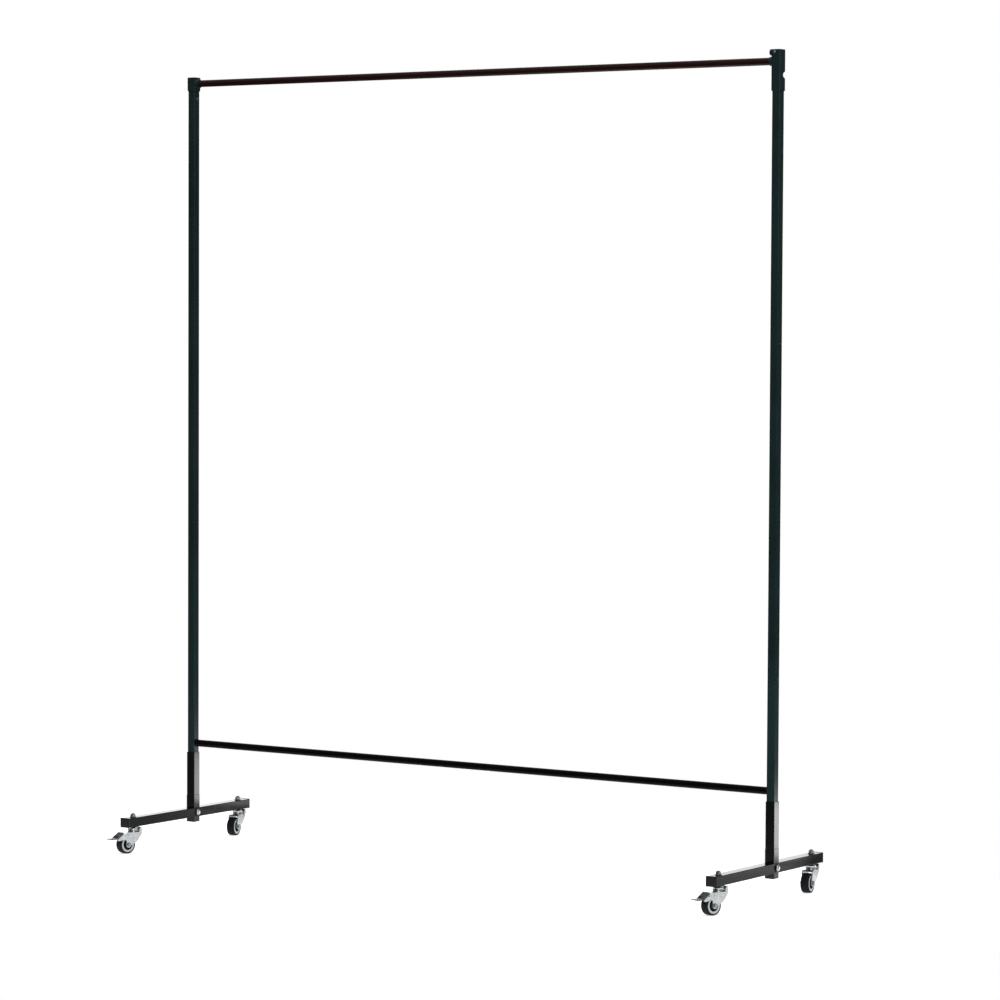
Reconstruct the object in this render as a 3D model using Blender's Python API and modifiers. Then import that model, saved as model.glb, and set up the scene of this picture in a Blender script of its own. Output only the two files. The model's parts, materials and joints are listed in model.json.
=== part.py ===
"""Rolling frame of a welding curtain screen, in metres, +Z up and -Y to the front.

Two square posts carry a round top rail and a round bottom rail. Each post stands in a socket that passes
down through a foot beam, and each beam rolls on two swivel casters. The front casters have a foot brake.
The origin is on the floor, below the middle of the frame.
"""

import math

import bmesh
import bpy

MM = 0.001

# Fits
FIT = 0.3 * MM  # gap between two pieces that touch
BEAM_PLAY = 0.2 * MM  # extra room for the socket inside the foot beam

# Posts and rails
POST_SPACING = 1825 * MM  # between the posts' centres
RAIL_SPAN = 1796 * MM  # between the rails' centres
POST_SIDE = 22 * MM
POST_WALL = 1.5 * MM
TUBE_CORNER = 2 * MM  # outer corner radius of every square tube
TUBE_INNER_CORNER = 0.2 * MM  # the least that an inner corner radius may be
RAIL_DIAMETER = 19 * MM
RAIL_WALL = 1.5 * MM
SPIGOT_DIAMETER = 12 * MM  # the swaged end of a rail
SPIGOT_LENGTH = 10 * MM
SPIGOT_WALL = 1.5 * MM

# Top fittings
FITTING_WALL = 1.6 * MM
FITTING_ROOF = 2 * MM
BOSS_LENGTH = 9 * MM  # the boss that the top rail's end sits in
BOSS_WALL = 1.7 * MM  # round the rail at the boss's tip
BOSS_FLARE = 1.5 * MM  # how much wider the boss is at its root
RIGHT_ABOVE_RAIL = 29 * MM  # the right fitting's top over the rail's centre
RIGHT_HEIGHT = 102 * MM
RIGHT_GRIP = 26 * MM  # how far the right post reaches into its fitting
LEFT_ABOVE_RAIL = 17 * MM
LEFT_HEIGHT = 37 * MM
NOTCH_RADIUS = 8.2 * MM  # the half-round notch in the right fitting's rear corner
NOTCH_BELOW_RAIL = 34 * MM

# Small fasteners of the frame
KNOB_RADIUS = 8 * MM
KNOB_HEAD = 5.5 * MM
KNOB_EDGE = 1.2 * MM  # chamfer round the head
KNOB_NECK_RADIUS = 4 * MM
KNOB_NECK = 3 * MM
KNOB_SCREW_RADIUS = 3 * MM
KNOB_ABOVE_RAIL = 22 * MM
SCREW_HEAD_RADIUS = 3.6 * MM
SCREW_HEAD = 2 * MM
SCREW_SHANK_RADIUS = 1.9 * MM
SCREW_INBOARD = 3.7 * MM  # the front screw's place, from the fitting's centre towards the rail
RIVET_RADIUS = 4 * MM
RIVET_HEAD = 1.8 * MM
RIVET_SHANK_RADIUS = 2 * MM
RIVET_BELOW_RAIL = 41.5 * MM
STUD_RADIUS = 4.8 * MM
STUD_HEAD = 3.6 * MM
STUD_SHANK_RADIUS = 2.5 * MM
STUD_HEIGHTS = (277 * MM, 1102 * MM)  # over the bottom rail's centre
SHANK_TAIL = 3 * MM  # how far a small shank reaches past its wall

# Legs and feet
SLEEVE_WALL = 1.3 * MM
SLEEVE_LENGTH = 117 * MM
SOCKET_WALL = 1.8 * MM
SOCKET_ABOVE_BEAM = 35 * MM
SOCKET_BELOW_BEAM = 14 * MM
POST_ABOVE_STUB = 3 * MM  # the post's foot over the socket's lower end
RAIL_ABOVE_SLEEVE = 25 * MM  # bottom rail's centre over the leg sleeve's top
BEAM_WALL = 1.5 * MM
BEAM_HEIGHT = 25 * MM
FOOT_FRONT = 290 * MM  # beam's front end from the post's centre
FOOT_REAR = 230 * MM
CAP_FLANGE = 2.5 * MM
CAP_LIP = 0.5 * MM  # how far the flange stands proud of the beam
CAP_PLUG = 12 * MM
CAP_EDGE = 0.8 * MM

# Foot bolts
BOLT_RADIUS = 4 * MM
BOLT_DOME_RADIUS = 7.5 * MM
BOLT_DOME = 5 * MM
WASHER_RADIUS = 10 * MM
WASHER_THICKNESS = 1.6 * MM
NUT_ACROSS_FLATS = 13 * MM
NUT_HEIGHT = 6.5 * MM
BOLT_TAIL = 2 * MM  # thread that shows past a nut

# Casters
STEM_INSET = 32 * MM  # stem's axis from the beam's end
WHEEL_DIAMETER = 50 * MM
WHEEL_TRAIL = 24 * MM  # axle ahead of the stem's axis
WHEEL_WIDTH = 22 * MM
WHEEL_PLAY = 1.5 * MM  # between the wheel and each of the fork's cheeks
WHEEL_HEADROOM = 4.5 * MM
FORK_SHEET = 2 * MM
FORK_CROWN_RADIUS = 18 * MM
FORK_CROWN = 2.5 * MM
FORK_BACK = 19.5 * MM  # outer face of the fork's closed back, from the stem's axis
FORK_FRONT = 22 * MM
FORK_NOSE = 5 * MM  # how far a plain fork's front lip stands ahead of its crown
FORK_LIP = 2.2 * MM  # how far that lip hangs below the crown's underside
HOOD_HEIGHT = 12 * MM  # the back rises this far over the crown, behind the race
HOOD_PLAY = 0.8 * MM  # between the hood and the race
LOWER_RACE_RADIUS = 14 * MM
LOWER_RACE = 3 * MM
LOWER_RACE_TAPER = 1 * MM
RACE_GAP = 1 * MM
UPPER_RACE_RADIUS = 17 * MM
UPPER_RACE = 6.4 * MM
UPPER_RACE_FLAT = 11.5 * MM  # radius of its flat top
UPPER_RACE_STEP = 14 * MM  # radius of its upper tier
UPPER_RACE_RIM = 2.2 * MM  # height of its lower tier
COLLAR_RADIUS = 7 * MM
COLLAR = 3 * MM
STEM_RADIUS = 4 * MM
STEM_CHAMFER = 0.8 * MM
KING_PIN_RADIUS = 5 * MM
KING_PIN_HEAD_RADIUS = 7 * MM
KING_PIN_HEAD = 1.5 * MM
NUT_FLANGE_RADIUS = 9 * MM
NUT_FLANGE = 1.6 * MM
AXLE_RADIUS = 3 * MM
AXLE_HEAD_RADIUS = 5.5 * MM
AXLE_HEAD = 3.5 * MM
AXLE_EYE_RADIUS = 8 * MM  # the fork's rounded end about the axle
TYRE_THICKNESS = 4.6 * MM
TYRE_SHOULDER = 2.5 * MM
RIM_THICKNESS = 8 * MM
RIM_INSET = 0.5 * MM  # the rim's side, in from the tyre's
HUB_RADIUS = 8 * MM
WEB_THICKNESS = 9 * MM

# Foot brakes
BRAKE_PIN_CLEARANCE = 5.45 * MM  # from the tyre to the pin's axis
BRAKE_PIN_ANGLE = 47.7  # degrees above the level, seen from the axle
EAR_SLOPE = 4 * MM  # how far the ear's upper edge has dropped above the pin
EAR_START = 6 * MM  # the ear's upper edge leaves the crown this far ahead of it
BRAKE_PIN_RADIUS = 2 * MM
BRAKE_PIN_HEAD_RADIUS = 3.5 * MM
BRAKE_PIN_HEAD = 1.2 * MM
BRAKE_TRAVEL = 20  # degrees that the pedal tips when it is pressed
CAM_RADIUS = 3.6 * MM
CAM_OFFSET = 1.2 * MM  # the cam's lobe points at the axle once the pedal is pressed
PEDAL_PLAY = 0.5 * MM  # between the pedal and each ear
PEDAL_SHEET = 1.8 * MM
PEDAL_REACH = 34.5 * MM  # pedal's tip ahead of its pin
PEDAL_LIP = 12.5 * MM  # length of the wide lip at the tip
PEDAL_LIP_OVERHANG = 2 * MM  # how much wider the lip is on each side
PEDAL_LIP_SHEET = 1.6 * MM
PEDAL_LIP_DROP = 4.8 * MM  # from the pin down to the lip's upper face
PEDAL_CHEEK = 2 * MM
WINDOW = (6.5 * MM, 10 * MM, 8 * MM)
WINDOW_SPACING = 11 * MM
WINDOW_AHEAD = 11 * MM  # of the pin
WINDOW_ABOVE = 0.5 * MM
WINDOW_SLOPE = 34  # degrees, as the plate lies

# Outlines of (ahead, up) points about the brake pin
EAR = [(-13, -11.5), (-9.5, -8), (0.5, -9), (12.5, -11), (16.5, -8.5), (15.5, -5.5)]
PEDAL_TOP = [(-5, 10.5), (18.5, -5.5)]
PEDAL_TIP_Z = -4
PEDAL_SIDE = [(-5.5, 10), (16, -4.5), (10, -7), (-4, -3.5)]

# Outlines of (ahead, up) points about the middle of the fork's crown: the hood and the rounded back below it
HOOD = [(-8, 0), (-11.5, 8), (-14.5, 12), (-18, 12), (-19.5, 10)]
HAUNCH = [(-19.5, -5), (-18, -8.5), (-13.5, -13), (-8.7, -19.5), (-2.6, -25.5)]

# How each caster is turned at rest: degrees from straight ahead, positive towards +X
CASTER_YAW = {"front_left": -14, "front_right": -15, "rear_left": 12, "rear_right": 9}

# Facets
SIDES = 16
WHEEL_SIDES = 28
CORNER_STEPS = 2

# Sizes that follow
WHEEL_RADIUS = WHEEL_DIAMETER / 2
FORK_INNER_TOP = WHEEL_DIAMETER + WHEEL_HEADROOM
FORK_TOP = FORK_INNER_TOP + FORK_CROWN
LOWER_RACE_TOP = FORK_TOP + LOWER_RACE
UPPER_RACE_BOTTOM = LOWER_RACE_TOP + RACE_GAP
COLLAR_BOTTOM = UPPER_RACE_BOTTOM + UPPER_RACE + FIT
COLLAR_TOP = COLLAR_BOTTOM + COLLAR
BEAM_BOTTOM = COLLAR_TOP + FIT
BEAM_TOP = BEAM_BOTTOM + BEAM_HEIGHT
BEAM_MIDDLE = BEAM_BOTTOM + BEAM_HEIGHT / 2
FORK_GAP = WHEEL_WIDTH + 2 * WHEEL_PLAY
FORK_WIDTH = FORK_GAP + 2 * FORK_SHEET
PEDAL_WIDTH = FORK_GAP - 2 * PEDAL_PLAY
BRAKE_PIN_DISTANCE = WHEEL_RADIUS + BRAKE_PIN_CLEARANCE
BRAKE_PIN_AHEAD = BRAKE_PIN_DISTANCE * math.cos(math.radians(BRAKE_PIN_ANGLE))  # of the axle
BRAKE_PIN_ABOVE = BRAKE_PIN_DISTANCE * math.sin(math.radians(BRAKE_PIN_ANGLE))
POST_HOLE = POST_SIDE + 2 * FIT
SLEEVE_SIDE = POST_HOLE + 2 * SLEEVE_WALL
SOCKET_SIDE = POST_HOLE + 2 * SOCKET_WALL
FITTING_SIDE = POST_HOLE + 2 * FITTING_WALL
BEAM_WIDTH = SOCKET_SIDE + 2 * (FIT + BEAM_PLAY + BEAM_WALL)
SOCKET_TOP = BEAM_TOP + SOCKET_ABOVE_BEAM
SOCKET_BOTTOM = BEAM_BOTTOM - SOCKET_BELOW_BEAM
SLEEVE_BOTTOM = SOCKET_TOP + FIT
SLEEVE_TOP = SLEEVE_BOTTOM + SLEEVE_LENGTH
BOTTOM_RAIL_Z = SLEEVE_TOP + RAIL_ABOVE_SLEEVE
TOP_RAIL_Z = BOTTOM_RAIL_Z + RAIL_SPAN
POST_BOTTOM = SOCKET_BOTTOM + POST_ABOVE_STUB
RIGHT_TOP = TOP_RAIL_Z + RIGHT_ABOVE_RAIL
RIGHT_BOTTOM = RIGHT_TOP - RIGHT_HEIGHT
LEFT_TOP = TOP_RAIL_Z + LEFT_ABOVE_RAIL
FRONT_EXTENT = FOOT_FRONT - STEM_INSET + WHEEL_TRAIL + BRAKE_PIN_AHEAD + PEDAL_REACH
REAR_EXTENT = FOOT_REAR + CAP_FLANGE
POST_Y = (FRONT_EXTENT - REAR_EXTENT) / 2  # sets the origin below the middle
POST_X = {"left": -POST_SPACING / 2, "right": POST_SPACING / 2}
NUT_CORNER_RADIUS = NUT_ACROSS_FLATS / 2 / math.cos(math.pi / 6)

# Rotations that turn an object's own Z towards an axis
TO_X = (0, math.pi / 2, 0)
TO_MINUS_X = (0, -math.pi / 2, 0)
TO_MINUS_Y = (math.pi / 2, 0, 0)
TO_Y = (-math.pi / 2, 0, 0)
SIDE_VIEW = (math.pi / 2, 0, math.pi / 2)  # own X to +Y, own Y to +Z, own Z to +X


def clear_scene():
    """Remove what a new file holds."""
    for obj in list(bpy.data.objects):
        bpy.data.objects.remove(obj)


def new_collection(name):
    collection = bpy.data.collections.new(name)
    bpy.context.scene.collection.children.link(collection)
    return collection


def finish(name, colour, roughness, metallic):
    """A plain material of one colour."""
    material = bpy.data.materials.new(name)
    material.use_nodes = True
    shader = material.node_tree.nodes["Principled BSDF"]
    shader.inputs["Base Color"].default_value = (*colour, 1)
    shader.inputs["Roughness"].default_value = roughness
    shader.inputs["Metallic"].default_value = metallic
    return material


clear_scene()
PARTS = new_collection("welding_curtain_screen")
CUTTERS = new_collection("cutters")

POST_PAINT = finish("dark_green_paint", (0.008, 0.018, 0.018), 0.35, 0.0)
BLACK_PAINT = finish("black_paint", (0.006, 0.006, 0.007), 0.3, 0.0)
BLACK_PLASTIC = finish("black_plastic", (0.01, 0.01, 0.011), 0.5, 0.0)
ZINC = finish("zinc_plated_steel", (0.62, 0.63, 0.64), 0.3, 1.0)
DARK_STEEL = finish("dark_steel", (0.08, 0.09, 0.09), 0.4, 1.0)
TYRE_RUBBER = finish("tyre_rubber", (0.008, 0.01, 0.012), 0.6, 0.0)
CORE_PLASTIC = finish("grey_wheel_plastic", (0.42, 0.42, 0.43), 0.45, 0.0)


def new_object(name, mesh, material):
    """An object in the parts' collection, or a cutter where it has no material."""
    obj = bpy.data.objects.new(name, mesh)
    if material is None:
        CUTTERS.objects.link(obj)
        obj.hide_render = True
        obj.display_type = "WIRE"
    else:
        PARTS.objects.link(obj)
        mesh.materials.append(material)
    return obj


def place(obj, location, rotation=(0, 0, 0), parent=None):
    obj.parent = parent
    obj.location = location
    obj.rotation_euler = rotation
    return obj


def shade_round(mesh):
    mesh.shade_smooth()
    mesh.set_sharp_from_angle(angle=math.radians(35))


def arc(centre, radius, start, end, steps):
    """Points along an arc from one angle to another, in degrees, with both ends."""
    points = []
    for i in range(steps + 1):
        angle = math.radians(start + (end - start) * i / steps)
        points.append((centre[0] + radius * math.cos(angle), centre[1] + radius * math.sin(angle)))
    return points


def rounded_rectangle(width, height, radius):
    """The outline of a rectangle with round corners, about its own centre."""
    points = []
    for side_x, side_y, start in ((1, 1, 0), (-1, 1, 90), (-1, -1, 180), (1, -1, 270)):
        centre = (side_x * (width / 2 - radius), side_y * (height / 2 - radius))
        points += arc(centre, radius, start, start + 90, CORNER_STEPS)
    return points


def extruded(name, outlines, thickness, material):
    """A flat outline, with any holes in it, made as thick as given about its own Z = 0."""
    curve = bpy.data.curves.new(name, "CURVE")
    curve.dimensions = "2D"
    curve.fill_mode = "BOTH"
    curve.extrude = thickness / 2
    for outline in outlines:
        spline = curve.splines.new("POLY")
        spline.points.add(len(outline) - 1)
        for point, (x, y) in zip(spline.points, outline):
            point.co = (x, y, 0, 1)
        spline.use_cyclic_u = True
    guide = bpy.data.objects.new(name, curve)
    CUTTERS.objects.link(guide)
    bpy.context.view_layer.update()
    mesh = bpy.data.meshes.new_from_object(guide.evaluated_get(bpy.context.evaluated_depsgraph_get()))
    bpy.data.objects.remove(guide)
    shape = bmesh.new()
    shape.from_mesh(mesh)
    bmesh.ops.remove_doubles(shape, verts=shape.verts, dist=0.000001)
    bmesh.ops.recalc_face_normals(shape, faces=shape.faces)
    shape.to_mesh(mesh)
    shape.free()
    mesh.materials.clear()
    shade_round(mesh)
    return new_object(name, mesh, material)


def box(name, size, material):
    """A box about its own centre."""
    shape = bmesh.new()
    bmesh.ops.create_cube(shape, size=1)
    bmesh.ops.scale(shape, vec=size, verts=shape.verts)
    mesh = bpy.data.meshes.new(name)
    shape.to_mesh(mesh)
    shape.free()
    return new_object(name, mesh, material)


def cone(name, root, tip, length, material, sides=SIDES):
    """A cone or cylinder along its own Z, about its own centre."""
    shape = bmesh.new()
    bmesh.ops.create_cone(shape, cap_ends=True, segments=sides, radius1=root, radius2=tip, depth=length)
    mesh = bpy.data.meshes.new(name)
    shape.to_mesh(mesh)
    shape.free()
    shade_round(mesh)
    return new_object(name, mesh, material)


def cylinder(name, radius, length, material, sides=SIDES):
    return cone(name, radius, radius, length, material, sides)


def turned(name, profile, material, ring=False, sides=SIDES):
    """A profile of (radius, height) points, outer side from top to bottom, turned about its own Z."""
    edges = [(i, i + 1) for i in range(len(profile) - 1)]
    if ring:
        edges.append((len(profile) - 1, 0))
    mesh = bpy.data.meshes.new(name)
    mesh.from_pydata([(radius, 0, height) for radius, height in profile], edges, [])
    obj = new_object(name, mesh, material)
    screw = obj.modifiers.new("turn", "SCREW")
    screw.steps = sides
    screw.render_steps = sides
    screw.use_merge_vertices = True
    screw.merge_threshold = 0.00001
    screw.use_smooth_shade = False
    return obj


def boolean(target, tool, operation):
    """Cut a tool out of a piece, or add it, and put the tool with the cutters."""
    if tool.name not in CUTTERS.objects:
        PARTS.objects.unlink(tool)
        CUTTERS.objects.link(tool)
        tool.hide_render = True
        tool.display_type = "WIRE"
    modifier = target.modifiers.new(tool.name, "BOOLEAN")
    modifier.operation = operation
    modifier.object = tool
    modifier.solver = "EXACT"


def drill(target, radius, length, location, rotation, parent=None):
    """A round hole right through the length given."""
    tool = cylinder(f"{target.name}_drill", radius, length, None)
    place(tool, location, rotation, parent)
    boolean(target, tool, "DIFFERENCE")


def tube(name, width, height, wall, length, material):
    """A rectangular tube along its own Z, about its own centre."""
    corner = max(TUBE_CORNER - wall, TUBE_INNER_CORNER)
    outer = rounded_rectangle(width, height, TUBE_CORNER)
    inner = rounded_rectangle(width - 2 * wall, height - 2 * wall, corner)
    return extruded(name, [outer, inner], length, material)


def headed_shank(head, shank_radius, shank_length):
    """The profile of a head over its shank: the head's (radius, height) points stand on height 0."""
    return head + [(shank_radius, 0), (shank_radius, -shank_length), (0, -shank_length)]


def dome(radius, height, steps=3):
    """The profile of a domed head, from its crown down to its rim at height 0."""
    points = []
    for i in range(steps + 1):
        angle = math.pi / 2 * (1 - i / steps)
        points.append((radius * math.cos(angle) if i else 0, height * math.sin(angle)))
    return points


def build_post(side, top):
    """One upright, with the holes for the bottom rail's spigot and the foot bolt."""
    x = POST_X[side]
    length = top - POST_BOTTOM
    post = tube(f"post_{side}", POST_SIDE, POST_SIDE, POST_WALL, length, POST_PAINT)
    place(post, (x, POST_Y, POST_BOTTOM + length / 2))
    drill(post, BOLT_RADIUS + FIT, 2 * POST_SIDE, (x, POST_Y, BEAM_MIDDLE), TO_X)
    inner_face = x - math.copysign(POST_SIDE / 2, x)
    drill(post, SPIGOT_DIAMETER / 2 + FIT, POST_SIDE, (inner_face, POST_Y, BOTTOM_RAIL_Z), TO_X)
    return post


def build_posts():
    left = build_post("left", LEFT_TOP - FITTING_ROOF - FIT)
    left_face = POST_X["left"] + POST_SIDE / 2
    drill(left, SPIGOT_DIAMETER / 2 + FIT, POST_SIDE, (left_face, POST_Y, TOP_RAIL_Z), TO_X)
    rivet_z = TOP_RAIL_Z - RIVET_BELOW_RAIL
    drill(left, RIVET_SHANK_RADIUS + FIT, POST_SIDE / 2, (left_face, POST_Y, rivet_z), TO_X)
    right = build_post("right", RIGHT_BOTTOM + RIGHT_GRIP)
    right_face = POST_X["right"] + POST_SIDE / 2
    for height in STUD_HEIGHTS:
        place_at = (right_face, POST_Y, BOTTOM_RAIL_Z + height)
        drill(right, STUD_SHANK_RADIUS + FIT, POST_SIDE / 2, place_at, TO_X)


def build_rail(name, body_length, z):
    """A round tube with a swaged spigot at each end, open right through."""
    half = body_length / 2
    end = half + SPIGOT_LENGTH
    outer = RAIL_DIAMETER / 2
    spigot = SPIGOT_DIAMETER / 2
    taper = outer - spigot
    outside = [(spigot, end), (spigot, half), (outer, half), (outer, -half), (spigot, -half), (spigot, -end)]
    bore = spigot - SPIGOT_WALL
    inside = [
        (bore, -end),
        (bore, taper - half),
        (outer - RAIL_WALL, 2 * taper - half),
        (outer - RAIL_WALL, half - 2 * taper),
        (bore, half - taper),
        (bore, end),
    ]
    rail = turned(name, outside + inside, BLACK_PAINT, ring=True)
    place(rail, (0, POST_Y, z), TO_X)


def build_rails():
    build_rail("rail_top", POST_SPACING - FITTING_SIDE - 2 * FIT, TOP_RAIL_Z)
    build_rail("rail_bottom", POST_SPACING - POST_SIDE - 2 * FIT, BOTTOM_RAIL_Z)


def build_fitting(side, top, height):
    """A square cap over a post, with a boss that the top rail's end sits in."""
    x = POST_X[side]
    inward = -math.copysign(1, x)
    outline = rounded_rectangle(FITTING_SIDE, FITTING_SIDE, TUBE_CORNER)
    fitting = extruded(f"top_fitting_{side}", [outline], height, POST_PAINT)
    place(fitting, (x, POST_Y, top - height / 2))

    root = FITTING_SIDE / 2 - FITTING_WALL / 2
    length = BOSS_LENGTH + FITTING_WALL / 2
    tip_radius = RAIL_DIAMETER / 2 + FIT + BOSS_WALL
    boss = cone(f"boss_{side}", tip_radius + BOSS_FLARE, tip_radius, length, POST_PAINT)
    boss_x = x + inward * (root + length / 2)
    place(boss, (boss_x, POST_Y, TOP_RAIL_Z), TO_X if inward > 0 else TO_MINUS_X)
    boolean(fitting, boss, "UNION")

    pocket_depth = height - FITTING_ROOF
    pocket = box(f"pocket_{side}", (POST_HOLE, POST_HOLE, 2 * pocket_depth), None)
    place(pocket, (x, POST_Y, top - height))
    boolean(fitting, pocket, "DIFFERENCE")

    face_x = x + inward * FITTING_SIDE / 2
    drill(fitting, SPIGOT_DIAMETER / 2 + FIT, FITTING_SIDE, (face_x, POST_Y, TOP_RAIL_Z), TO_X)
    seat_x = face_x + inward * BOSS_LENGTH
    drill(fitting, RAIL_DIAMETER / 2 + FIT, 2 * BOSS_LENGTH, (seat_x, POST_Y, TOP_RAIL_Z), TO_X)
    return fitting


def build_fittings():
    build_fitting("left", LEFT_TOP, LEFT_HEIGHT)
    right = build_fitting("right", RIGHT_TOP, RIGHT_HEIGHT)
    x = POST_X["right"]
    half = FITTING_SIDE / 2
    notch_at = (x + half, POST_Y + half, TOP_RAIL_Z - NOTCH_BELOW_RAIL)
    drill(right, NOTCH_RADIUS, 2 * FITTING_SIDE, notch_at, (math.pi / 2, 0, math.pi / 4))
    knob_z = TOP_RAIL_Z + KNOB_ABOVE_RAIL
    drill(right, KNOB_SCREW_RADIUS + FIT, FITTING_SIDE / 2, (x - half, POST_Y, knob_z), TO_X)
    screw_at = (x - SCREW_INBOARD, POST_Y - half, knob_z)
    drill(right, SCREW_SHANK_RADIUS + FIT, FITTING_SIDE / 2, screw_at, TO_Y)


def build_small_fasteners():
    """The clamp knob, the front screw, the rivet and the studs."""
    x = POST_X["right"]
    half = FITTING_SIDE / 2
    knob_z = TOP_RAIL_Z + KNOB_ABOVE_RAIL
    top = KNOB_NECK + KNOB_HEAD
    edge = KNOB_EDGE
    head = [
        (0, top),
        (KNOB_RADIUS - edge, top),
        (KNOB_RADIUS, top - edge),
        (KNOB_RADIUS, KNOB_NECK + edge),
        (KNOB_RADIUS - edge, KNOB_NECK),
        (KNOB_NECK_RADIUS, KNOB_NECK),
        (KNOB_NECK_RADIUS, 0),
    ]
    profile = headed_shank(head, KNOB_SCREW_RADIUS, FITTING_WALL + FIT + SHANK_TAIL)
    knob = turned("clamp_knob", profile, BLACK_PLASTIC)
    place(knob, (x - half - FIT, POST_Y, knob_z), TO_MINUS_X)

    through_wall = FITTING_WALL + FIT + SHANK_TAIL
    profile = headed_shank(dome(SCREW_HEAD_RADIUS, SCREW_HEAD), SCREW_SHANK_RADIUS, through_wall)
    screw = turned("clamp_screw", profile, ZINC)
    place(screw, (x - SCREW_INBOARD, POST_Y - half - FIT, knob_z), TO_MINUS_Y)

    profile = headed_shank(dome(RIVET_RADIUS, RIVET_HEAD), RIVET_SHANK_RADIUS, POST_WALL + FIT + SHANK_TAIL)
    rivet = turned("rivet_left", profile, ZINC)
    place(rivet, (POST_X["left"] + POST_SIDE / 2 + FIT, POST_Y, TOP_RAIL_Z - RIVET_BELOW_RAIL), TO_X)

    for name, height in zip(("lower", "upper"), STUD_HEIGHTS):
        profile = headed_shank(dome(STUD_RADIUS, STUD_HEAD), STUD_SHANK_RADIUS, POST_WALL + FIT + SHANK_TAIL)
        stud = turned(f"stud_{name}", profile, POST_PAINT)
        place(stud, (x + POST_SIDE / 2 + FIT, POST_Y, BOTTOM_RAIL_Z + height), TO_X)


def build_leg(side):
    """The sleeve round the post's foot, and the socket below it that passes through the beam."""
    x = POST_X[side]
    sleeve = tube(f"leg_sleeve_{side}", SLEEVE_SIDE, SLEEVE_SIDE, SLEEVE_WALL, SLEEVE_LENGTH, BLACK_PAINT)
    place(sleeve, (x, POST_Y, SLEEVE_BOTTOM + SLEEVE_LENGTH / 2))
    length = SOCKET_TOP - SOCKET_BOTTOM
    socket = tube(f"foot_socket_{side}", SOCKET_SIDE, SOCKET_SIDE, SOCKET_WALL, length, BLACK_PAINT)
    place(socket, (x, POST_Y, SOCKET_BOTTOM + length / 2))
    drill(socket, BOLT_RADIUS + FIT, 2 * SOCKET_SIDE, (x, POST_Y, BEAM_MIDDLE), TO_X)


def stem_places():
    """Each caster's name, with the x and y of its stem."""
    places = {}
    for side, x in POST_X.items():
        places[f"front_{side}"] = (x, POST_Y - FOOT_FRONT + STEM_INSET)
        places[f"rear_{side}"] = (x, POST_Y + FOOT_REAR - STEM_INSET)
    return places


def build_beam(side):
    """The foot's tube, cut out for the socket, the bolt and the two caster stems."""
    x = POST_X[side]
    middle_y = POST_Y + (FOOT_REAR - FOOT_FRONT) / 2
    beam = tube(f"foot_beam_{side}", BEAM_WIDTH, BEAM_HEIGHT, BEAM_WALL, FOOT_FRONT + FOOT_REAR, BLACK_PAINT)
    place(beam, (x, middle_y, BEAM_MIDDLE), TO_Y)
    opening = SOCKET_SIDE + 2 * FIT
    hole = box(f"beam_opening_{side}", (opening, opening, 2 * BEAM_HEIGHT), None)
    place(hole, (x, POST_Y, BEAM_MIDDLE))
    boolean(beam, hole, "DIFFERENCE")
    drill(beam, BOLT_RADIUS + FIT, 2 * BEAM_WIDTH, (x, POST_Y, BEAM_MIDDLE), TO_X)
    for end in ("front", "rear"):
        stem_x, stem_y = stem_places()[f"{end}_{side}"]
        drill(beam, STEM_RADIUS + FIT, 2 * BEAM_HEIGHT, (stem_x, stem_y, BEAM_MIDDLE), (0, 0, 0))


def build_end_cap(side, end):
    """A plastic plug with a flange, pushed into the end of a beam."""
    x = POST_X[side]
    outward = -1 if end == "front" else 1
    reach = FOOT_FRONT if end == "front" else FOOT_REAR
    face_y = POST_Y + outward * (reach + FIT)
    outline = rounded_rectangle(BEAM_WIDTH + 2 * CAP_LIP, BEAM_HEIGHT + 2 * CAP_LIP, TUBE_CORNER)
    cap = extruded(f"end_cap_{end}_{side}", [outline], CAP_FLANGE, BLACK_PLASTIC)
    place(cap, (x, face_y + outward * CAP_FLANGE / 2, BEAM_MIDDLE), TO_Y)
    edge = cap.modifiers.new("edge", "BEVEL")
    edge.width = CAP_EDGE
    edge.segments = 2
    edge.limit_method = "ANGLE"
    edge.angle_limit = math.radians(60)
    inset = 2 * (BEAM_WALL + FIT)
    overlap = CAP_FLANGE / 2
    plug_length = CAP_PLUG + overlap
    plug = box(f"plug_{end}_{side}", (BEAM_WIDTH - inset, plug_length, BEAM_HEIGHT - inset), BLACK_PLASTIC)
    place(plug, (x, face_y + outward * (overlap - plug_length / 2), BEAM_MIDDLE))
    boolean(cap, plug, "UNION")


def hex_nut(name, thread_radius, flange_radius, flange, material):
    """A hexagon nut with a flange under it, standing on its own Z = 0, with its bore."""
    nut = cylinder(name, NUT_CORNER_RADIUS, NUT_HEIGHT, material, sides=6)
    for vertex in nut.data.vertices:
        vertex.co.z += flange + NUT_HEIGHT / 2
    if flange:
        washer = cylinder(f"{name}_flange", flange_radius, flange + NUT_HEIGHT / 2, material)
        for vertex in washer.data.vertices:
            vertex.co.z += (flange + NUT_HEIGHT / 2) / 2
            if vertex.co.z > flange:
                vertex.co.z = flange
        washer.parent = nut
        boolean(nut, washer, "UNION")
    tool = cylinder(f"{name}_bore", thread_radius + FIT, 4 * NUT_HEIGHT, None)
    tool.parent = nut
    boolean(nut, tool, "DIFFERENCE")
    return nut


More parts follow.
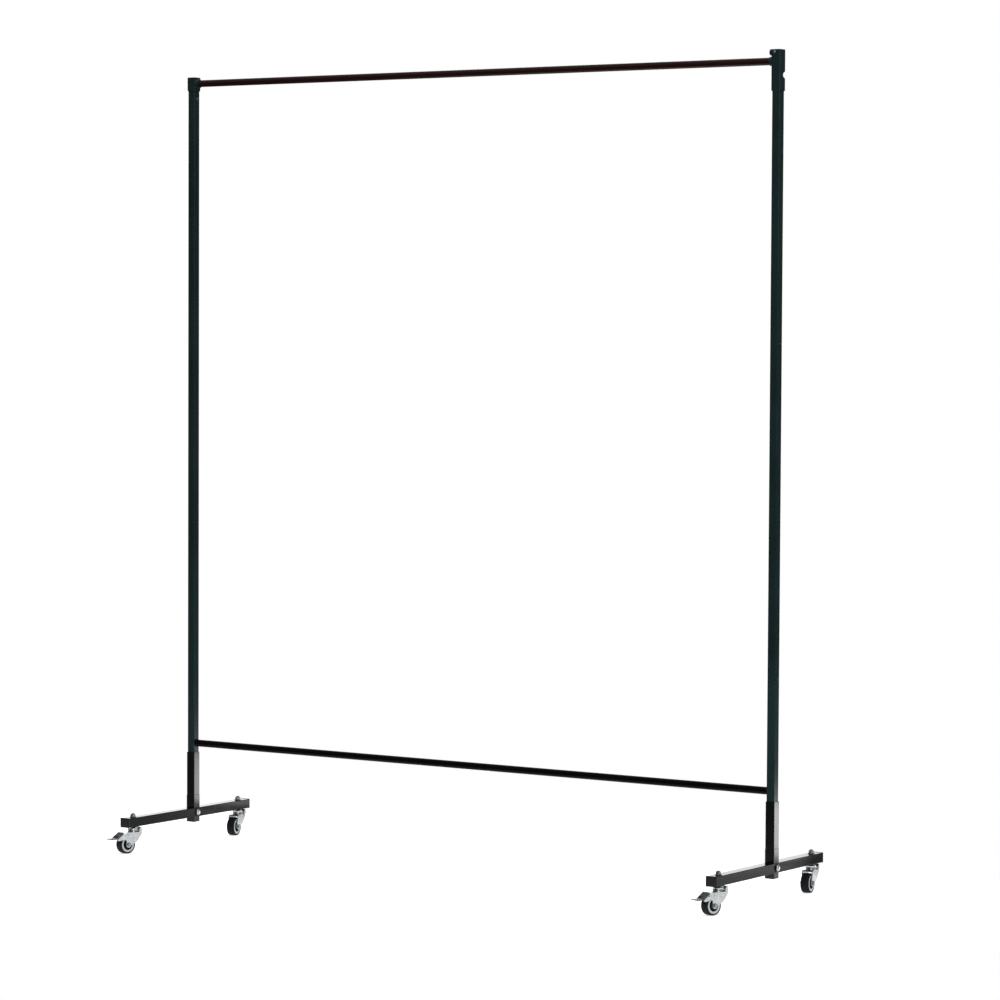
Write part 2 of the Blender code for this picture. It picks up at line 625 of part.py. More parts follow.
def build_foot_bolt(side):
    """The bolt that holds the post, socket and beam together, with its washer and nut."""
    x = POST_X[side]
    half = BEAM_WIDTH / 2
    washer_x = half + FIT + WASHER_THICKNESS / 2
    head_x = half + 2 * FIT + WASHER_THICKNESS
    nut_x = half + FIT
    washer = cylinder(f"foot_bolt_washer_{side}", WASHER_RADIUS, WASHER_THICKNESS, DARK_STEEL)
    place(washer, (x + washer_x, POST_Y, BEAM_MIDDLE), TO_X)
    drill(washer, BOLT_RADIUS + FIT, 4 * WASHER_THICKNESS, (x + washer_x, POST_Y, BEAM_MIDDLE), TO_X)
    shank = head_x + nut_x + NUT_HEIGHT + BOLT_TAIL
    profile = headed_shank(dome(BOLT_DOME_RADIUS, BOLT_DOME), BOLT_RADIUS, shank)
    bolt = turned(f"foot_bolt_{side}", profile, ZINC)
    place(bolt, (x + head_x, POST_Y, BEAM_MIDDLE), TO_X)
    nut = hex_nut(f"foot_bolt_nut_{side}", BOLT_RADIUS, 0, 0, ZINC)
    place(nut, (x - nut_x, POST_Y, BEAM_MIDDLE), TO_MINUS_X)


def forward(points):
    """Points given as (distance ahead, height), in the side view's own X and Y."""
    return [(-ahead, height) for ahead, height in points]


def millimetres(points, ahead=0, height=0):
    """An outline given in millimetres about a point."""
    return [(ahead + x * MM, height + y * MM) for x, y in points]


def fork_outline(braked):
    """The side of a fork: hood and back behind the stem, a cheek down to the axle, and an ear or a front lip."""
    axle = (WHEEL_TRAIL, WHEEL_RADIUS)
    eye = arc(axle, AXLE_EYE_RADIUS, 205, 375, 8)
    back = millimetres(HOOD + HAUNCH, 0, FORK_TOP)
    if not braked:
        nose = FORK_FRONT + FORK_NOSE
        lip = FORK_INNER_TOP - FORK_LIP
        return back + eye + [(nose, lip), (nose, FORK_TOP - FORK_CROWN), (FORK_FRONT, FORK_TOP)]
    pin_ahead = WHEEL_TRAIL + BRAKE_PIN_AHEAD
    ear = millimetres(EAR, pin_ahead, WHEEL_RADIUS + BRAKE_PIN_ABOVE)
    return back + eye + ear + [(pin_ahead, FORK_TOP - EAR_SLOPE), (FORK_FRONT + EAR_START, FORK_TOP)]


def build_hollow(fork, tag, rear, front, low, high, swivel):
    """Cut the space between the cheeks, from the rear to the front and between two heights."""
    hollow = box(f"hollow_{tag}", (FORK_GAP, front - rear, high - low), None)
    place(hollow, (0, -(front + rear) / 2, (low + high) / 2), parent=swivel)
    boolean(fork, hollow, "DIFFERENCE")


def build_fork(tag, swivel, braked):
    """A pressed fork: crown, hood, two cheeks, and the lower ball race raised on its top."""
    fork = extruded(f"fork_{tag}", [forward(fork_outline(braked))], FORK_WIDTH, ZINC)
    place(fork, (0, 0, 0), SIDE_VIEW, swivel)
    inside = FORK_SHEET - FORK_BACK
    build_hollow(fork, f"hood_{tag}", inside, 0, FORK_TOP, FORK_TOP + 2 * HOOD_HEIGHT, swivel)
    round_room = cylinder(f"race_room_{tag}", UPPER_RACE_RADIUS + HOOD_PLAY, 2 * HOOD_HEIGHT, None)
    place(round_room, (0, 0, FORK_TOP + HOOD_HEIGHT), parent=swivel)
    boolean(fork, round_room, "DIFFERENCE")
    crown = cylinder(f"crown_{tag}", FORK_CROWN_RADIUS, FORK_CROWN, ZINC)
    place(crown, (0, 0, FORK_TOP - FORK_CROWN / 2), parent=swivel)
    boolean(fork, crown, "UNION")
    tip = LOWER_RACE_RADIUS - LOWER_RACE_TAPER
    height = LOWER_RACE + FORK_CROWN / 2
    race = cone(f"race_{tag}", LOWER_RACE_RADIUS, tip, height, ZINC)
    place(race, (0, 0, LOWER_RACE_TOP - height / 2), parent=swivel)
    boolean(fork, race, "UNION")
    ahead = 3 * WHEEL_DIAMETER
    if braked:
        build_hollow(fork, f"slot_{tag}", inside, ahead, -FORK_TOP, FORK_INNER_TOP, swivel)
    else:
        lip_inside = FORK_FRONT + FORK_NOSE - FORK_SHEET
        build_hollow(fork, f"slot_{tag}", inside, ahead, -FORK_TOP, FORK_INNER_TOP - FORK_LIP, swivel)
        build_hollow(fork, f"roof_{tag}", inside, lip_inside, 0, FORK_INNER_TOP, swivel)
    drill(fork, KING_PIN_RADIUS + FIT, 2 * FORK_TOP, (0, 0, FORK_TOP), (0, 0, 0), swivel)
    drill(fork, AXLE_RADIUS + FIT, 2 * FORK_WIDTH, (0, -WHEEL_TRAIL, WHEEL_RADIUS), TO_X, swivel)
    if braked:
        drill(fork, BRAKE_PIN_RADIUS + FIT, 2 * FORK_WIDTH, brake_pin_place(), TO_X, swivel)


def build_stem(tag, holder):
    """The threaded stem, its collar and its king pin, riveted over below the fork's crown."""
    nut_top = BEAM_TOP + FIT + NUT_FLANGE + NUT_HEIGHT
    top = nut_top + BOLT_TAIL
    rivet_top = FORK_INNER_TOP - FIT
    rivet_bottom = rivet_top - KING_PIN_HEAD
    profile = [
        (0, top),
        (STEM_RADIUS - STEM_CHAMFER, top),
        (STEM_RADIUS, top - STEM_CHAMFER),
        (STEM_RADIUS, COLLAR_TOP),
        (COLLAR_RADIUS, COLLAR_TOP),
        (COLLAR_RADIUS, COLLAR_BOTTOM),
        (KING_PIN_RADIUS, COLLAR_BOTTOM),
        (KING_PIN_RADIUS, rivet_top),
        (KING_PIN_HEAD_RADIUS, rivet_top),
        (KING_PIN_HEAD_RADIUS, rivet_bottom),
        (0, rivet_bottom),
    ]
    stem = turned(f"caster_stem_{tag}", profile, DARK_STEEL)
    place(stem, (0, 0, 0), parent=holder)
    nut = hex_nut(f"stem_nut_{tag}", STEM_RADIUS, NUT_FLANGE_RADIUS, NUT_FLANGE, ZINC)
    place(nut, (0, 0, BEAM_TOP + FIT), parent=holder)


def build_upper_race(tag, holder):
    """The dished ring above the balls, held under the stem's collar."""
    top = UPPER_RACE_BOTTOM + UPPER_RACE
    bore = KING_PIN_RADIUS + FIT
    profile = [
        (UPPER_RACE_FLAT, top),
        (UPPER_RACE_STEP, top - UPPER_RACE_RIM),
        (UPPER_RACE_STEP, UPPER_RACE_BOTTOM + UPPER_RACE_RIM),
        (UPPER_RACE_RADIUS, UPPER_RACE_BOTTOM + UPPER_RACE_RIM),
        (UPPER_RACE_RADIUS, UPPER_RACE_BOTTOM),
        (bore, UPPER_RACE_BOTTOM),
        (bore, top),
    ]
    race = turned(f"upper_race_{tag}", profile, ZINC, ring=True)
    place(race, (0, 0, 0), parent=holder)


def build_axle(tag, swivel):
    """The axle bolt, with a hexagon head on one side and its nut on the other."""
    length = FORK_WIDTH + 2 * (FIT + AXLE_HEAD)
    axle = cylinder(f"wheel_axle_{tag}", AXLE_RADIUS, length, ZINC)
    place(axle, (0, -WHEEL_TRAIL, WHEEL_RADIUS), TO_X, swivel)
    for sign in (-1, 1):
        head = cylinder(f"axle_head_{tag}", AXLE_HEAD_RADIUS, AXLE_HEAD, ZINC, sides=6)
        head_x = sign * (FORK_WIDTH / 2 + FIT + AXLE_HEAD / 2)
        place(head, (head_x, -WHEEL_TRAIL, WHEEL_RADIUS), TO_X, swivel)
        boolean(axle, head, "UNION")


def build_wheel(tag, wheel_empty):
    """The wheel's core and the tyre round it, turned about the axle."""
    rim = WHEEL_RADIUS - TYRE_THICKNESS
    half_hub = FORK_GAP / 2 - FIT
    half_rim = WHEEL_WIDTH / 2 - RIM_INSET
    half_web = WEB_THICKNESS / 2
    recess = rim - RIM_THICKNESS
    bore = AXLE_RADIUS + FIT
    above = [(bore, half_hub), (HUB_RADIUS, half_hub), (HUB_RADIUS, half_web), (recess, half_web)]
    above.append((recess, half_rim))
    below = [(radius, -height) for radius, height in reversed(above)]
    profile = [(rim, half_rim), (rim, -half_rim)] + below + above
    core = turned(f"wheel_core_{tag}", profile, CORE_PLASTIC, ring=True, sides=WHEEL_SIDES)
    place(core, (0, 0, 0), TO_X, wheel_empty)

    half = WHEEL_WIDTH / 2
    inner = rim + FIT
    shoulder = WHEEL_RADIUS - TYRE_SHOULDER
    upper = arc((shoulder, half - TYRE_SHOULDER), TYRE_SHOULDER, 90, 0, 3)
    lower = arc((shoulder, TYRE_SHOULDER - half), TYRE_SHOULDER, 0, -90, 3)
    profile = upper + lower + [(inner, -half), (inner, half)]
    tyre = turned(f"tyre_{tag}", profile, TYRE_RUBBER, ring=True, sides=WHEEL_SIDES)
    place(tyre, (0, 0, 0), TO_X, wheel_empty)


def brake_pin_place():
    return (0, -WHEEL_TRAIL - BRAKE_PIN_AHEAD, WHEEL_RADIUS + BRAKE_PIN_ABOVE)


def build_brake_pin(tag, swivel):
    """The pedal's pin, headed on both outer sides of the ears."""
    length = FORK_WIDTH + 2 * (FIT + BRAKE_PIN_HEAD)
    pin = cylinder(f"brake_pin_{tag}", BRAKE_PIN_RADIUS, length, ZINC)
    place(pin, brake_pin_place(), TO_X, swivel)
    for sign in (-1, 1):
        head = cylinder(f"pin_head_{tag}", BRAKE_PIN_HEAD_RADIUS, BRAKE_PIN_HEAD, ZINC)
        x, y, z = brake_pin_place()
        place(head, (x + sign * (FORK_WIDTH / 2 + FIT + BRAKE_PIN_HEAD / 2), y, z), TO_X, swivel)
        boolean(pin, head, "UNION")


def pedal_outline():
    """The pedal's bent sheet from the side, about its pin: a steep plate and a lip at its foot."""
    top = millimetres(PEDAL_TOP) + [(PEDAL_REACH, PEDAL_TIP_Z * MM)]
    return top + [(ahead, height - PEDAL_SHEET) for ahead, height in reversed(top)]


def build_pedal(tag, pedal_empty):
    """The brake pedal about its pin: plate and lip, two cheeks, and the cam that presses the tyre."""
    pedal = extruded(f"brake_pedal_{tag}", [forward(pedal_outline())], PEDAL_WIDTH, DARK_STEEL)
    place(pedal, (0, 0, 0), SIDE_VIEW, pedal_empty)

    lip_width = PEDAL_WIDTH + 2 * PEDAL_LIP_OVERHANG
    lip = box(f"lip_{tag}", (lip_width, PEDAL_LIP, PEDAL_LIP_SHEET), DARK_STEEL)
    lip_z = -PEDAL_LIP_DROP - PEDAL_LIP_SHEET / 2
    place(lip, (0, PEDAL_LIP / 2 - PEDAL_REACH, lip_z), parent=pedal_empty)
    boolean(pedal, lip, "UNION")

    for sign in (-1, 1):
        cheek = extruded(f"cheek_{tag}", [forward(millimetres(PEDAL_SIDE))], PEDAL_CHEEK, DARK_STEEL)
        place(cheek, (sign * (PEDAL_WIDTH - PEDAL_CHEEK) / 2, 0, 0), SIDE_VIEW, pedal_empty)
        boolean(pedal, cheek, "UNION")

    lobe = math.radians(180 + BRAKE_PIN_ANGLE + BRAKE_TRAVEL)
    cam = cylinder(f"cam_{tag}", CAM_RADIUS, PEDAL_WIDTH - PEDAL_CHEEK, DARK_STEEL)
    cam_place = (0, -CAM_OFFSET * math.cos(lobe), CAM_OFFSET * math.sin(lobe))
    place(cam, cam_place, TO_X, pedal_empty)
    boolean(pedal, cam, "UNION")
    drill(pedal, BRAKE_PIN_RADIUS + FIT, 2 * PEDAL_WIDTH, (0, 0, 0), TO_X, pedal_empty)

    for sign in (-1, 1):
        window = box(f"window_{tag}", WINDOW, None)
        window_place = (sign * WINDOW_SPACING / 2, -WINDOW_AHEAD, WINDOW_ABOVE)
        place(window, window_place, (math.radians(WINDOW_SLOPE), 0, 0), pedal_empty)
        boolean(pedal, window, "DIFFERENCE")


def new_empty(name, location, rotation=(0, 0, 0), parent=None):
    empty = bpy.data.objects.new(name, None)
    PARTS.objects.link(empty)
    return place(empty, location, rotation, parent)


def build_caster(tag, x, y):
    """One caster: its stem and race stay with the beam, the fork swivels and the wheel rolls in it."""
    braked = tag.startswith("front")
    holder = new_empty(f"stem_axis_{tag}", (x, y, 0))
    build_stem(tag, holder)
    build_upper_race(tag, holder)
    swivel = new_empty(f"swivel_axis_{tag}", (0, 0, 0), (0, 0, math.radians(CASTER_YAW[tag])), holder)
    build_fork(tag, swivel, braked)
    build_axle(tag, swivel)
    wheel_axis = new_empty(f"wheel_axis_{tag}", (0, -WHEEL_TRAIL, WHEEL_RADIUS), parent=swivel)
    build_wheel(tag, wheel_axis)
    if braked:
        build_brake_pin(tag, swivel)
        pedal_axis = new_empty(f"pedal_axis_{tag}", brake_pin_place(), parent=swivel)
        build_pedal(tag, pedal_axis)


def main():
    build_posts()
    build_rails()
    build_fittings()
    build_small_fasteners()
    for side in POST_X:
        build_leg(side)
        build_beam(side)
        build_foot_bolt(side)
        for end in ("front", "rear"):
            build_end_cap(side, end)
    for tag, (x, y) in stem_places().items():
        build_caster(tag, x, y)


main()
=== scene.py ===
"""Finishes a rolling frame for a welding curtain: coated square tubes, round rails, casters and foot brakes.

The fixed frame gives every place. Each piece is made here in fine detail, stands for one node of the frame
and rides on that node's body. Lengths are in metres.
"""

import json
import math

import bmesh
import bpy
from bpy.props import FloatProperty, FloatVectorProperty, IntProperty, PointerProperty
from mathutils import Matrix, Vector


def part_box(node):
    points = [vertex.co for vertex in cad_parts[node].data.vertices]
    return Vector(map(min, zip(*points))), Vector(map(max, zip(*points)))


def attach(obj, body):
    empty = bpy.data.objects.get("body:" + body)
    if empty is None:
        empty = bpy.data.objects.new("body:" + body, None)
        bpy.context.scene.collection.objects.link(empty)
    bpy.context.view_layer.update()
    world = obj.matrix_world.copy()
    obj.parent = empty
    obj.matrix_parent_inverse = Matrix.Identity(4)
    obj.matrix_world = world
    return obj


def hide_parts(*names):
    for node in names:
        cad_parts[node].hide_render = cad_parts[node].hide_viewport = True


bl_info = {
    "name": "Curtain Frame Finisher",
    "version": (1, 0, 0),
    "blender": (4, 5, 0),
    "location": "View3D > Sidebar > Curtain Frame",
    "description": "Finishes a rolling frame for a welding curtain, with casters, brakes and a small studio",
    "category": "Object",
}

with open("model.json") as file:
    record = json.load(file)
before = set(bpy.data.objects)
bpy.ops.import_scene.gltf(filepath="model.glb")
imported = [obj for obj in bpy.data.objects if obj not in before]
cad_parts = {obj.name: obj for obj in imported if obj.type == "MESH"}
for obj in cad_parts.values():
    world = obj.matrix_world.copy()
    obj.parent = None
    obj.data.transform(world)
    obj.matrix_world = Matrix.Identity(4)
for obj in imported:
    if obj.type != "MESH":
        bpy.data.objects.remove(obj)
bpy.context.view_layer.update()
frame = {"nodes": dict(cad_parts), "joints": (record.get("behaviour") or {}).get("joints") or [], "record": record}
RECORD = frame["record"]
BODY_OF = {node: body for body, nodes in RECORD["behaviour"]["bodies"].items() for node in nodes}
JOINTS = {joint["name"]: joint for joint in frame["joints"]}

MM = 0.001
SIDES = ("left", "right")
CASTERS = ("front_left", "front_right", "rear_left", "rear_right")
BRAKED = ("front_left", "front_right")

# The radius where a turned profile closes on its axis
TIP = 0.02 * MM

# Sizes that the frame's boxes don't give
FIT = 0.3 * MM
POST_WALL = 1.5 * MM
SLEEVE_WALL = 1.3 * MM
SOCKET_WALL = 1.8 * MM
BEAM_WALL = 1.5 * MM
FITTING_ROOF = 2 * MM
RAIL_WALL = 1.5 * MM
SPIGOT_RADIUS = 6 * MM
SPIGOT_LENGTH = 10 * MM
BOSS_LENGTH = 9 * MM
BOSS_TIP = 11.5 * MM
NOTCH_RADIUS = 8.2 * MM
NOTCH_BELOW_RAIL = 34 * MM
BOLT_RADIUS = 4 * MM
STEM_NUT_FLATS = 13 * MM
THREAD_PITCH = 1.25 * MM
FORK_GAP = 25 * MM
FORK_SHEET = 2 * MM
FORK_CROWN = 2.5 * MM
FORK_CROWN_RADIUS = 18 * MM
FORK_BACK = 19.5 * MM
FORK_FRONT = 22 * MM
FORK_NOSE = 5 * MM
FORK_LIP = 2.2 * MM
HOOD_HEIGHT = 12 * MM
HOOD_PLAY = 0.8 * MM
RACE_RADIUS = 14 * MM
RACE_HEIGHT = 3 * MM
UPPER_RACE_RADIUS = 17 * MM
KING_PIN_RADIUS = 5 * MM
AXLE_RADIUS = 3 * MM
AXLE_EYE_RADIUS = 8 * MM
BRAKE_PIN_RADIUS = 2 * MM
BRAKE_PIN_HEAD_RADIUS = 3.5 * MM
CAM_RADIUS = 3.6 * MM
PEDAL_WIDTH = 24 * MM
PEDAL_LIP_WIDTH = 28 * MM
PEDAL_SHEET = 1.8 * MM
WINDOW_WIDTH = 7 * MM
WINDOW_LENGTH = 10.5 * MM

# Outlines of (ahead, up) points in millimetres: the hood and the back about the crown's top,
# then the ear and the pedal about the brake pin
HOOD = [(-8, 0), (-11.5, 8), (-14.5, 12), (-18, 12), (-19.5, 10)]
HAUNCH = [(-19.5, -5), (-18, -8.5), (-13.5, -13), (-8.7, -19.5), (-2.6, -25.5)]
EAR = [(-13, -11.5), (-9.5, -8), (0.5, -9), (12.5, -11), (16.5, -8.5), (15.5, -5.5)]
PEDAL_BEND = [(-5, 10.5), (18.5, -5.5), (34.5, -4)]
PEDAL_CHEEK = [(-5.5, 10), (16, -4.5), (10, -7), (-4, -3.5)]

# Rotations that turn a piece's own Z towards an axis
TO_X = Matrix.Rotation(math.pi / 2, 4, "Y")
TO_MINUS_X = Matrix.Rotation(-math.pi / 2, 4, "Y")
TO_Y = Matrix.Rotation(-math.pi / 2, 4, "X")
TO_MINUS_Y = Matrix.Rotation(math.pi / 2, 4, "X")
# A side view: own X points ahead (-Y), own Y up and own Z across (-X)
SIDE_VIEW = Matrix(((0, 0, -1, 0), (-1, 0, 0, 0), (0, 1, 0, 0), (0, 0, 0, 1)))


# Colour


def linear(hex_colour):
    """Turn an sRGB hex colour into linear red, green, blue and alpha."""
    channels = [int(hex_colour[i : i + 2], 16) / 255 for i in (0, 2, 4)]
    return tuple(c / 12.92 if c <= 0.04045 else ((c + 0.055) / 1.055) ** 2.4 for c in channels) + (1.0,)


def colour_property(name, description, hex_colour):
    default = linear(hex_colour)[:3]
    return FloatVectorProperty(
        name=name, description=description, default=default, size=3, min=0, max=1, subtype="COLOR"
    )


def length_property(name, description, default):
    return FloatProperty(name=name, description=description, default=default, unit="LENGTH")


def angle_property(name, description, degrees):
    default = math.radians(degrees)
    return FloatProperty(name=name, description=description, default=default, subtype="ANGLE")


def count_property(name, description, default):
    return IntProperty(name=name, description=description, default=default)


# Settings


class CURTAINFRAME_PG_shape(bpy.types.PropertyGroup):
    """Fineness of the rounded and turned shapes."""

    tube_corner: length_property("Tube corner", "Outer corner radius of the square tubes", 2 * MM)
    edge_break: length_property("Edge break", "Rounding of sawn and stamped edges", 0.3 * MM)
    turned_sides: count_property("Turned sides", "Facets round a turned piece", 64)
    tyre_shoulder: length_property("Tyre shoulder", "Rounding of the tyre's edges", 2.5 * MM)
    spokes: count_property("Wheel ribs", "Moulded ribs on each side of a wheel core", 8)
    knob_flutes: count_property("Knob flutes", "Finger flutes round the clamp knob", 18)


class CURTAINFRAME_PG_colours(bpy.types.PropertyGroup):
    """Colours of the coats, plating and mouldings."""

    post_coat: colour_property("Post coat", "Dark green powder coat of the posts", "152728")
    top_rail_coat: colour_property("Top rail coat", "Maroon-black coat of the top rail", "220808")
    bottom_rail_coat: colour_property("Bottom rail coat", "Black coat of the bottom rail", "080405")
    foot_coat: colour_property("Foot coat", "Black enamel of the feet and sleeves", "090a0a")
    zinc: colour_property("Zinc", "Bright zinc plate of the forks and fasteners", "b9bdbf")
    pedal_steel: colour_property("Pedal steel", "Darkened steel of the brake pedals", "5a605e")
    oxide: colour_property("Black oxide", "Oxide finish of the stems and washers", "2c2f31")
    core: colour_property("Wheel core", "Grey nylon of the wheel cores", "aeb0b2")
    tread: colour_property("Tread", "Soft tread of the wheels", "080d0f")
    plastic: colour_property("Black plastic", "Moulded end caps and knob", "0b0c0d")


class CURTAINFRAME_PG_studio(bpy.types.PropertyGroup):
    """The camera, the floor and the lights."""

    azimuth: angle_property("Azimuth", "Camera's turn from the front", 34)
    roll: angle_property("Roll", "Camera's roll", 0.275)
    distance: length_property("Distance", "Level distance to the camera", 9.842)
    height: length_property("Height", "Camera over the floor", 1.4323)
    aim_x: length_property("Aim X", "Camera's aim beside the middle", 0.0966)
    aim_z: length_property("Aim Z", "Camera's aim over the floor", 0.9688)
    lens: FloatProperty(name="Lens", description="Focal length in mm, on a 36 mm sensor", default=137.41)
    sun: FloatProperty(name="Sun", description="Strength of the broad overhead light", default=1.6)
    table: FloatProperty(name="Light table", description="Glow of the lit floor", default=0.5)
    card: FloatProperty(name="Low cards", description="Power of each low light behind a foot", default=1.0)
    key: FloatProperty(name="Key", description="Power of the softbox at the front right", default=60)


# Mesh helpers


def new_object(name, shape):
    """Turn a bmesh into an object with its faces pointing out."""
    bmesh.ops.remove_doubles(shape, verts=shape.verts, dist=1e-7)
    bmesh.ops.recalc_face_normals(shape, faces=shape.faces)
    mesh = bpy.data.meshes.new(name)
    shape.to_mesh(mesh)
    shape.free()
    obj = bpy.data.objects.new(name, mesh)
    bpy.context.scene.collection.objects.link(obj)
    return obj


def loft(name, loops, ring=False):
    """Skin a closed body over loops of points, capped at both ends, or joined end to start in a ring."""
    shape = bmesh.new()
    rows = [[shape.verts.new(point) for point in loop] for loop in loops]
    pairs = list(zip(rows, rows[1:]))
    if ring:
        pairs.append((rows[-1], rows[0]))
    else:
        shape.faces.new(rows[0])
        shape.faces.new(rows[-1])
    count = len(rows[0])
    for lower, upper in pairs:
        for i in range(count):
            j = (i + 1) % count
            shape.faces.new((lower[i], lower[j], upper[j], upper[i]))
    return new_object(name, shape)


def turned(name, profile, ring=False, sides=None, radius_at=None):
    """Turn a profile of (radius, height) points about Z, where radius_at may change each radius."""
    sides = sides or bpy.context.scene.curtain_shape.turned_sides
    loops = []
    for radius, height in profile:
        loop = []
        for i in range(sides):
            angle = 2 * math.pi * i / sides
            r = radius_at(radius, angle, height) if radius_at else radius
            loop.append((r * math.cos(angle), r * math.sin(angle), height))
        loops.append(loop)
    if ring:
        return loft(name, loops, ring=True)
    closed = [loop for loop, (radius, _) in zip(loops, profile) if radius > 0]
    return loft(name, closed)


def arc(centre, radius, start, end, steps):
    """Points along an arc between two angles in degrees, with both ends."""
    points = []
    for i in range(steps + 1):
        angle = math.radians(start + (end - start) * i / steps)
        points.append((centre[0] + radius * math.cos(angle), centre[1] + radius * math.sin(angle)))
    return points


def rounded_rectangle(width, height, radius, steps=6):
    """The outline of a rectangle with round corners, about its centre."""
    points = []
    for side_x, side_y, start in ((1, 1, 0), (-1, 1, 90), (-1, -1, 180), (1, -1, 270)):
        centre = (side_x * (width / 2 - radius), side_y * (height / 2 - radius))
        points += arc(centre, radius, start, start + 90, steps)
    return points


def rounded(points, radius, steps=5):
    """An outline with each of its corners rounded, as far as its shorter side lets it."""
    outline = []
    count = len(points)
    for i, corner in enumerate(points):
        corner = Vector(corner)
        before = Vector(points[i - 1]) - corner
        after = Vector(points[(i + 1) % count]) - corner
        reach = min(radius, before.length * 0.45, after.length * 0.45)
        start = corner + before.normalized() * reach
        end = corner + after.normalized() * reach
        for step in range(steps + 1):
            t = step / steps
            outline.append(tuple(start * (1 - t) ** 2 + corner * 2 * t * (1 - t) + end * t**2))
    return outline


def prism(name, outline, low, high, edge=0.0, steps=2):
    """An outline made solid between two heights, with its rims rounded by edge."""
    middle = Vector((sum(x for x, _ in outline), sum(y for _, y in outline))) / len(outline)
    loops = []

    def loop_at(height, inset):
        loop = []
        for x, y in outline:
            towards = middle - Vector((x, y))
            moved = Vector((x, y)) + towards.normalized() * inset
            loop.append((moved.x, moved.y, height))
        loops.append(loop)

    if edge:
        for step in range(steps + 1):
            angle = math.pi / 2 * step / steps
            loop_at(low + edge * (1 - math.cos(angle)), edge * (1 - math.sin(angle)))
        for step in range(steps, -1, -1):
            angle = math.pi / 2 * step / steps
            loop_at(high - edge * (1 - math.cos(angle)), edge * (1 - math.sin(angle)))
    else:
        loop_at(low, 0)
        loop_at(high, 0)
    return loft(name, loops)


def box(name, low, high):
    """A plain box between two corners, used for cutting and joining."""
    size = Vector(high) - Vector(low)
    middle = (Vector(high) + Vector(low)) / 2
    shape = bmesh.new()
    bmesh.ops.create_cube(shape, size=1, matrix=Matrix.Translation(middle) @ Matrix.Diagonal((*size, 1)))
    return new_object(name, shape)


def tube_of(name, width, height, wall, low, high):
    """A square tube along Z, hollow right through, with its sawn ends softly broken."""
    settings = bpy.context.scene.curtain_shape
    corner = settings.tube_corner
    edge = settings.edge_break
    inner_corner = max(corner - wall, 0.3 * MM)

    def loop_at(z, inset):
        radius = max(corner - inset, 0.2 * MM)
        return [(x, y, z) for x, y in rounded_rectangle(width - 2 * inset, height - 2 * inset, radius)]

    bore = rounded_rectangle(width - 2 * wall, height - 2 * wall, inner_corner)
    loops = [
        loop_at(low, edge),
        loop_at(low + edge * 0.3, edge * 0.3),
        loop_at(low + edge, 0),
        loop_at(high - edge, 0),
        loop_at(high - edge * 0.3, edge * 0.3),
        loop_at(high, edge),
        [(x, y, high) for x, y in bore],
        [(x, y, low) for x, y in bore],
    ]
    return loft(name, loops, ring=True)


def bake(obj):
    """Replace an object's mesh with what its modifiers make of it."""
    bpy.context.view_layer.update()
    evaluated = obj.evaluated_get(bpy.context.evaluated_depsgraph_get())
    mesh = bpy.data.meshes.new_from_object(evaluated)
    old = obj.data
    obj.modifiers.clear()
    obj.data = mesh
    bpy.data.meshes.remove(old)


def combine(target, operation, *tools):
    """Cut tools out of a piece, or join them to it, and remove the tools."""
    for tool in tools:
        modifier = target.modifiers.new("combine", "BOOLEAN")
        modifier.operation = operation
        modifier.object = tool
        modifier.solver = "EXACT"
    bake(target)
    for tool in tools:
        mesh = tool.data
        bpy.data.objects.remove(tool)
        bpy.data.meshes.remove(mesh)


def drill(target, radius, length, matrix, sides=48):
    """A round hole along the matrix's own Z, centred on its origin."""
    tool = turned("drill", [(radius, -length / 2), (radius, length / 2)], sides=sides)
    tool.data.transform(matrix)
    combine(target, "DIFFERENCE", tool)


def soften(obj, width, segments=2, angle=32):
    """Round every sharp edge of a piece."""
    modifier = obj.modifiers.new("soften", "BEVEL")
    modifier.width = width
    modifier.segments = segments
    modifier.limit_method = "ANGLE"
    modifier.angle_limit = math.radians(angle)
    modifier.use_clamp_overlap = True
    bake(obj)


def move(obj, matrix):
    """Place a piece by its mesh, so that its own coordinates are the frame's."""
    obj.data.transform(matrix)
    return obj


def finish_piece(obj, node, material, angle=32):
    """Shade a piece, give it its material, and let it stand for its node on the node's body."""
    obj.name = f"{node}_finished"
    obj.data.name = obj.name
    obj.data.materials.clear()
    obj.data.materials.append(material)
    obj.data.shade_smooth()
    obj.data.set_sharp_from_angle(angle=math.radians(angle))
    weighted = obj.modifiers.new("even_shading", "WEIGHTED_NORMAL")
    weighted.keep_sharp = True
    weighted.weight = 100
    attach(obj, BODY_OF[node])
    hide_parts(node)
    return obj


def span(node, matrix=None):
    """The lowest and highest corners of a node, in the frame or in a frame of its own."""
    if matrix is None:
        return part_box(node)
    inverse = matrix.inverted()
    points = [inverse @ vertex.co for vertex in frame["nodes"][node].data.vertices]
    low = Vector([min(point[i] for point in points) for i in range(3)])
    high = Vector([max(point[i] for point in points) for i in range(3)])
    return low, high


def middle_of(node):
    low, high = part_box(node)
    return (low + high) / 2


def at(*place):
    return Matrix.Translation(place)


def caster_frame(tag):
    """A caster's own frame: the stem's axis is Z, the axle lies along X and -Y is ahead."""
    x, y, _ = JOINTS[f"swivel_{tag}"]["pos_m"]
    across = JOINTS[f"roll_{tag}"]["axis"]
    return at(x, y, 0) @ Matrix.Rotation(math.atan2(across[1], across[0]), 4, "Z")


def axle_frame(tag):
    """The frame of a caster's wheel, with its origin on the axle."""
    own = caster_frame(tag)
    place = own.inverted() @ Vector(JOINTS[f"roll_{tag}"]["pos_m"])
    return own @ at(0, place.y, place.z)


def brake_frame(tag):
    """The frame of a caster's brake, with its origin on the pedal's pin."""
    own = caster_frame(tag)
    place = own.inverted() @ Vector(JOINTS[f"brake_{tag}"]["pos_m"])
    return own @ at(0, place.y, place.z)


